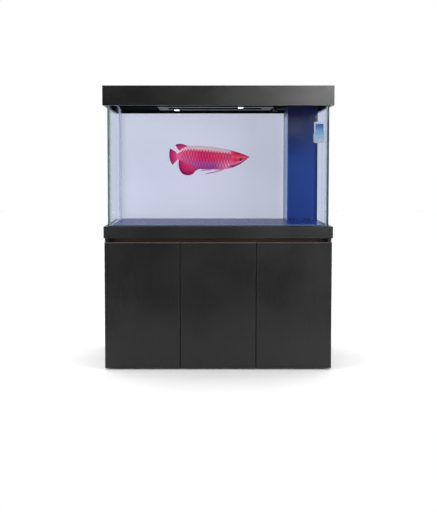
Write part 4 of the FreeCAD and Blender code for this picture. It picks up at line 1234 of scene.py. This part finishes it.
@dataclass
class CabinetDetails:
    """Screws of the back panel, rubber rings in the cable outlets and soft bumpers on the doors."""

    outlet: Point = (0.400, 0.600)
    outlet_radius: float = 0.030
    screw_heights: tuple = (0.06, 0.22, 0.38, 0.54, 0.68)
    screw_columns: tuple = (-0.601, -0.2, 0.2, 0.601)

    def build_screws(self) -> None:
        """Flat countersunk heads with a round socket, in columns down the back panel."""
        _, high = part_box("cabinet_back_panel")
        head = ((0.0, -0.0011), (0.0013, -0.0011), (0.0017, 0.0004), (0.0034, 0.0006), (0.0038, 0.0002),
                (0.0030, -0.0016), (0.0, -0.0016))
        mesh = bmesh.new()
        for x in self.screw_columns:
            for z in self.screw_heights:
                turned(mesh, head, Vector((x, high[1], z)), Axis.Y, 20)
        zinc = Metal("screw_zinc", (0.52, 0.52, 0.50), Axis.Y).build()
        seat(finish_mesh("cabinet_back_screws", mesh, zinc), "root")

    def build_outlets(self) -> None:
        """A ring with a lip on both faces of the panel, in each cable outlet."""
        low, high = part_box("cabinet_back_panel")
        r, thick = self.outlet_radius, high[1] - low[1]
        ring = ((r - 0.0012, -0.0014), (r + 0.0050, -0.0014), (r + 0.0058, -0.0002), (r - 0.0001, -0.0002),
                (r - 0.0001, thick + 0.0002), (r + 0.0058, thick + 0.0002), (r + 0.0050, thick + 0.0016),
                (r - 0.0012, thick + 0.0016))
        mesh = bmesh.new()
        for side in (-1.0, 1.0):
            turned(mesh, ring, Vector((side * self.outlet[0], low[1], self.outlet[1])), Axis.Y, 48)
        soft = Moulded("outlet_rubber", (0.014, 0.014, 0.014), 0.6).build()
        seat(finish_mesh("cable_outlet_rings", mesh, soft), "root")

    def build_bumpers(self) -> None:
        """Four soft domes on the back of each door."""
        soft = Moulded("bumper_soft", (0.42, 0.44, 0.44), 0.25, 900.0, 0.00003).build()
        dome = ((0.0, 0.0022), (0.0020, 0.0020), (0.0036, 0.0012), (0.0042, 0.0001), (0.0, 0.0001))
        for word, body in (("left", "left_door"), ("centre", "centre_door"), ("right", "right_door")):
            low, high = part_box("door_" + word)
            mesh = bmesh.new()
            for x in (low[0] + 0.014, high[0] - 0.014):
                for z in (low[2] + 0.022, high[2] - 0.030):
                    turned(mesh, dome, Vector((x, high[1], z)), Axis.Y, 20)
            seat(finish_mesh("door_" + word + "_bumpers", mesh, soft), body)

    def build(self) -> None:
        """Makes all of them."""
        self.build_screws()
        self.build_outlets()
        self.build_bumpers()


@dataclass
class HoodDetails:
    """Cooling ribs on the two lamp housings."""

    ribs: int = 6
    rib_width: float = 0.0022
    rib_height: float = 0.0024
    housing_depth: float = 0.046
    end_gap: float = 0.03
    sunk: float = 0.0002

    def build(self) -> None:
        """Makes the ribs."""
        low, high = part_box("lamp_housings")
        mesh = bmesh.new()
        left, right, half = low[0] + self.end_gap, high[0] - self.end_gap, self.rib_width / 2
        for near in (low[1], high[1] - self.housing_depth):
            for k in range(self.ribs):
                y = near + self.housing_depth * (k + 1) / (self.ribs + 1)
                rounded_block(mesh, Vector((left, y - half, high[2] - self.sunk)),
                              Vector((right, y + half, high[2] + self.rib_height)), 0.0005, 2)
        anodised = Metal("rib_anodised", (0.012, 0.013, 0.016), Axis.X, 0.4).build()
        seat(finish_mesh("lamp_cooling_ribs", mesh, anodised, False), "hood")


@dataclass
class SumpMedia:
    """A heap of ceramic rings and a coarse sponge in the sump's middle chamber."""

    left: float = -0.040
    right: float = 0.245
    front: float = -0.108
    back: float = 0.178
    floor: float = 0.0295
    columns: int = 17
    rows: int = 17
    margin: float = 0.009
    first_rise: float = 0.0078
    layer_rise: float = 0.0138
    sponge_right: float = 0.3245

    def build_rings(self) -> None:
        """Two layers of rings, laid this way and that by a fixed rule."""
        mesh = bmesh.new()
        ring = ((0.0030, -0.0070), (0.0064, -0.0066), (0.0070, -0.0050), (0.0070, 0.0050), (0.0064, 0.0066),
                (0.0030, 0.0070))
        step_x = (self.right - self.left - 2 * self.margin) / (self.columns - 1)
        step_y = (self.back - self.front - 2 * self.margin) / (self.rows - 1)
        for layer in range(2):
            for i in range(self.columns - layer):
                for j in range(self.rows - layer):
                    centre = Vector((self.left + self.margin + (i + 0.5 * layer) * step_x,
                                     self.front + self.margin + (j + 0.5 * layer) * step_y,
                                     self.floor + self.first_rise + layer * self.layer_rise))
                    turned(mesh, ring, centre, tuple(Axis)[(i * 7 + j * 11 + layer * 5) % 6 % 3], 12)
        ceramic = Moulded("ceramic_rings", (0.52, 0.46, 0.38), 0.75, 420.0, 0.0004).build()
        seat(finish_mesh("sump_ceramic_rings", mesh, ceramic), "root")

    def build_sponge(self) -> None:
        """A block of sponge with uneven sides."""
        mesh = bmesh.new()
        rounded_block(mesh, Vector((self.right + 0.004, self.front - 0.008, self.floor)),
                      Vector((self.sponge_right, self.back + 0.008, 0.265)), 0.006, 3)
        bmesh.ops.subdivide_edges(mesh, edges=mesh.edges[:], cuts=5, use_grid_fill=True)
        middle = (self.right + self.sponge_right) / 2
        for vertex in mesh.verts:
            swell = math.sin(vertex.co.y * 61.0) * math.sin(vertex.co.z * 47.0) * 0.0016
            vertex.co.x += swell * (1.0 if vertex.co.x > middle else -1.0) - 0.0004
        sponge = Wool("coarse_sponge", (0.030, 0.075, 0.16), 260.0, 0.0016).build()
        seat(finish_mesh("sump_sponge", mesh, sponge), "root")

    def build(self) -> None:
        """Makes both."""
        self.build_rings()
        self.build_sponge()


@dataclass
class ValveCaps:
    """A screw cap on each valve lever's hub."""

    radius: float = 0.0062

    def build(self) -> None:
        """Makes both caps."""
        cap = Moulded("valve_cap_black", (0.016, 0.016, 0.017), 0.3, 800.0, 0.00004).build()
        r = self.radius
        profile = ((0.0, -0.0016), (0.0018, -0.0016), (0.0020, -0.0024), (r - 0.0014, -0.0022), (r, -0.0012),
                   (r, -0.0001), (0.0, -0.0001))
        hubs = (("drain_valve_handle", "drain_lever", 0.545, 0.560),
                ("return_valve_handle", "return_lever", 0.345, 0.600))
        for node, body, x, z in hubs:
            low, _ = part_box(node)
            mesh = bmesh.new()
            turned(mesh, profile, Vector((x, low[1], z)), Axis.Y, 28)
            seat(finish_mesh(node + "_cap", mesh, cap), body)


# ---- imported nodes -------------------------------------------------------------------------
class NodeDresser:
    """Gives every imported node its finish."""

    def __init__(self) -> None:
        """Lists the nodes that have no finish yet."""
        self.left = set(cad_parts) - {"arowana"}

    def wear(self, finish: Finish, *names: str) -> None:
        """Puts one finish on some nodes.

        Args:
            finish: the finish.
            names: the nodes.
        """
        material = finish.build()
        for name in names:
            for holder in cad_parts[name].material_slots:
                holder.material = material
            self.left.discard(name)
            LOG.info("%s is dressed in %s", name, material.name)

    def dress(self) -> None:
        """Dresses every node but the fish, which has a shape of its own."""
        black = (0.0068, 0.0068, 0.0070)
        inside = (0.060, 0.052, 0.045)
        # painted shade: a darkened copy of the green glass edge
        painted_shade_edge = (0.012, 0.025, 0.03)
        low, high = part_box("thermometer_screen")
        self.wear(Laminate("black_laminate_upright", black, Axis.Z), "cabinet_side_panels")
        self.wear(Laminate("black_laminate_long", (0.0018, 0.0016, 0.0014), Axis.X, 0.34),
                  "trim_long_boards")
        self.wear(Laminate("black_lining", (0.0040, 0.0045, 0.0055), Axis.X, 0.6, specular=0.0),
                  "hood_cleats")
        self.wear(Laminate("black_laminate_hood", (0.0012, 0.0012, 0.0011), Axis.X, 0.33,
                  dull_inside=(0.617, 0.312)), "hood_boards", "hood_rear_deck", "lid_left", "lid_right")
        self.wear(Laminate("black_laminate_deep", black, Axis.Y), "trim_side_boards")
        self.wear(Laminate("black_laminate_doors", (0.0062, 0.0062, 0.0063), Axis.Z, bare_top=True,
                  specular=0.4, ior=1.5), "door_left", "door_centre", "door_right")
        self.wear(Laminate("cabinet_lining", inside, Axis.Z, 0.5, 0.2, specular=0.2),
                  "cabinet_bottom_board", "cabinet_back_panel", "cabinet_dividers")
        self.wear(SawnWood("stained_rail", (0.045, 0.026, 0.019), Axis.X), "front_rails",
                  "cabinet_top_board")
        self.wear(SawnWood("sawn_batten", (0.34, 0.23, 0.14), Axis.X), "deck_battens")
        self.wear(SawnWood("deck_ply", (0.30, 0.20, 0.12), Axis.X), "deck_board")
        self.wear(Pane("glass_long_panes", Axis.Y), "tank_front_glass", "tank_back_glass")
        # painted light on the end panes: the lavender see-through tint is a painted reflection of the backdrop,
        # lighter on the right, and the pale inner, left and rear edges are painted light
        self.wear(Pane("glass_end_panes", Axis.X, (0.785, 0.815, 0.900), (0.820, 0.850, 0.945),
                  inner_edge=(0.42, 0.54, 0.64), painted_light_left_edge=(0.23, 0.41, 0.41), painted_light_rear_edge=(0.50, 0.53, 0.64),
                  mirror=0.25), "tank_side_glass")
        # painted shade: the flat panes' edges are darkened and do not glow
        self.wear(Pane("glass_flat_panes", Axis.Z, edge=painted_shade_edge, inner_edge=painted_shade_edge, painted_edge_glow=0.0,
                  mirror=0.5), "tank_bottom_glass", "tank_top_braces")
        self.wear(Silicone(), "silicone_seams")
        self.wear(FloorSheet(), "tank_floor_sheet")
        # painted light: the backdrop's glow evens out the shade and shadows that the lights cast on it
        self.wear(Sheet("backdrop_lavender", (0.385, 0.390, 0.458), 0.55, 0.02, specular=0.15, glow=1.25),
                  "backdrop_panel")
        self.wear(TowerPanel(), "overflow_panels")
        self.wear(Moulded("grey_pipe_plastic", (0.085, 0.09, 0.095), 0.36), "bulkhead_fittings",
                  "bulkhead_nuts", "drain_standpipe", "return_riser", "drain_pipe", "return_pipe",
                  "valve_bodies")
        # painted shade: the return spout is dark for the shade under the hood
        self.wear(Moulded("dark_pipe_plastic", (0.008, 0.009, 0.012), 0.4), "drain_strainer",
                  "return_spout")
        self.wear(Moulded("black_rubber", (0.012, 0.012, 0.012), 0.7, 500.0), "bulkhead_gaskets",
                  "floor_glides")
        self.wear(Wool("mat_foam", (0.018, 0.018, 0.02), 900.0, 0.0006), "foam_mat")
        self.wear(Metal("nickel_plate", (0.60, 0.60, 0.62), Axis.Z), "hinge_arms", "door_left_hinge_cups",
                  "door_centre_hinge_cups", "door_right_hinge_cups", "lid_left_hinge_leaves",
                  "lid_right_hinge_leaves", "lid_hinge_bases")
        self.wear(Moulded("meter_white_plastic", (0.36, 0.42, 0.52), 0.28, 1200.0, 0.00003, 0.05),
                  "thermometer_housing")
        self.wear(Display("meter_display", low[2], high[2]), "thermometer_screen")
        self.wear(Metal("lamp_dark_anodised", (0.010, 0.011, 0.014), Axis.X, 0.45), "lamp_housings",
                  "lamp_cross_bars")
        self.wear(Glowing("lamp_lens_prisms", (0.008, 0.010, 0.014), 0.1), "lamp_lenses")
        self.wear(Moulded("lamp_end_grey", (0.020, 0.023, 0.027), 0.42), "lamp_end_pieces")
        self.wear(Pane("glass_sump", Axis.Z, (0.95, 0.975, 0.97), rim_from=0.2), "sump_tank")
        self.wear(Wool("filter_wool", (0.78, 0.80, 0.76)), "filter_wool")
        self.wear(Moulded("tray_black", (0.015, 0.016, 0.018), 0.3), "filter_tray")
        self.wear(Moulded("pump_black", (0.012, 0.012, 0.014), 0.4, 700.0), "return_pump")
        self.wear(Moulded("impeller_white", (0.66, 0.66, 0.62), 0.3, 1200.0, 0.00003), "pump_impeller")
        self.wear(Moulded("valve_red", (0.46, 0.014, 0.010), 0.3, 900.0, 0.00005), "drain_valve_handle",
                  "return_valve_handle")
        if self.left:
            raise RuntimeError("no finish for " + ", ".join(sorted(self.left)))


# ---- studio -------------------------------------------------------------------------------
@dataclass
class Studio:
    """Pale floor, soft lights and the camera."""

    camera_place: tuple = (-0.0882, -4.6638, 1.1162)
    tilt: float = 2.959
    lens: float = 55.53
    shift: Point = (0.0318, -0.0907)
    floor_half_width: float = 14.0
    floor_front: float = -1.3
    floor_back: float = 16.0
    floor_grey: Colour = (0.96, 0.96, 0.965)
    floor_white: Colour = (0.98, 0.98, 0.985)
    fill_watts: float = 168.0
    sheen_watts: float = 76.0

    def light(self, name: str, place: Sequence[float], aim: Sequence[float], size: Point, watts: float,
              colour: Colour = (1.0, 1.0, 1.0)) -> bpy.types.Object:
        """Adds a soft rectangular light.

        Args:
            name: the light's name.
            place: where it stands.
            aim: where it points.
            size: its width and height.
            watts: its power.
            colour: its colour.

        Returns:
            The light.
        """
        data = bpy.data.lights.new(name, "AREA")
        data.shape = "RECTANGLE"
        data.size, data.size_y = size
        data.energy = watts
        data.color = colour
        made = bpy.data.objects.new(name, data)
        made.location = place
        made.rotation_euler = (Vector(aim) - Vector(place)).to_track_quat("-Z", "Y").to_euler()
        bpy.context.scene.collection.objects.link(made)
        return made

    def build_floor(self) -> None:
        """A wide pale floor, which belongs to no body."""
        mesh = bmesh.new()
        bmesh.ops.create_grid(mesh, x_segments=4, y_segments=4, size=1.0)
        for vertex in mesh.verts:
            vertex.co.x *= self.floor_half_width
            vertex.co.y = self.floor_front + (vertex.co.y + 1.0) / 2.0 * (self.floor_back - self.floor_front)
        recipe = Recipe("studio_floor")
        speck = recipe.noise(recipe.place(), 3.0, 4.0)
        recipe.paint(recipe.blend(recipe.vary(speck), self.floor_grey, self.floor_white), 0.75)
        floor = finish_mesh("studio_floor", mesh, recipe.material, False)

    def build_world(self) -> None:
        """A white world that lights the object from behind and is seen evenly white."""
        world = bpy.data.worlds.new("studio_world")
        world.use_nodes = True
        tree = world.node_tree
        made = {kind: tree.nodes.new("ShaderNode" + kind)
                for kind in ("TexCoord", "SeparateXYZ", "MapRange", "LightPath", "Math")}
        made["Math"].operation = "MAXIMUM"
        fall, background = made["MapRange"], tree.nodes["Background"]
        for key, value in (("From Min", -0.15), ("From Max", 0.15), ("To Min", 0.03), ("To Max", 1.0)):
            fall.inputs[key].default_value = value
        for source, target in ((made["TexCoord"].outputs["Generated"], made["SeparateXYZ"].inputs[0]),
                               (made["SeparateXYZ"].outputs[1], fall.inputs["Value"]),
                               (made["LightPath"].outputs["Is Camera Ray"], made["Math"].inputs[0]),
                               (fall.outputs["Result"], made["Math"].inputs[1]),
                               (made["Math"].outputs[0], background.inputs["Strength"])):
            tree.links.new(source, target)
        background.inputs["Color"].default_value = (*WHITE, 1.0)
        bpy.context.scene.world = world
        bpy.context.scene.view_settings.view_transform = "Standard"

    def build_lights(self) -> None:
        """Soft light from above and from both sides, and a gleam that shows in reflections only."""
        sun = bpy.data.lights.new("soft_sky", "SUN")
        sun.energy, sun.angle = 1.6, math.radians(70.0)
        bpy.context.scene.collection.objects.link(bpy.data.objects.new("soft_sky", sun))
        self.light("fill_left", (-4.0, -2.0, 1.15), (0.0, 0.0, 1.1), (3.0, 2.2), self.fill_watts)
        self.light("fill_right", (4.0, -2.2, 1.15), (0.0, 0.0, 1.1), (3.0, 2.2), self.fill_watts)
        sheen = self.light("sheen_right", (1.75, -3.0, 1.95), (0.4, -0.3, 1.45), (1.3, 0.55),
                           self.sheen_watts)
        sheen.visible_diffuse = False

    def build_camera(self) -> None:
        """The camera in front, about level with the tank's middle and tilted down, with a shifted lens."""
        data = bpy.data.cameras.new("camera")
        data.lens = self.lens
        data.shift_x, data.shift_y = self.shift
        camera = bpy.data.objects.new("camera", data)
        camera.location = self.camera_place
        camera.rotation_euler = (math.radians(90.0 - self.tilt), 0.0, 0.0)
        bpy.context.scene.collection.objects.link(camera)
        bpy.context.scene.camera = camera

    def build(self) -> None:
        """Makes the floor, the world, the lights and the camera."""
        self.build_floor()
        self.build_world()
        self.build_lights()
        self.build_camera()


def main() -> None:
    """Builds the scene and reports each piece."""
    logging.basicConfig(level=logging.INFO, format="%(name)s: %(message)s")
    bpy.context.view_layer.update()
    NodeDresser().dress()
    for part in (Arowana(), LampModules(), IntakeGrommets(), CabinetDetails(), HoodDetails(), SumpMedia(),
                 ValveCaps(), Studio()):
        part.build()


if __name__ == "__main__":
    main()
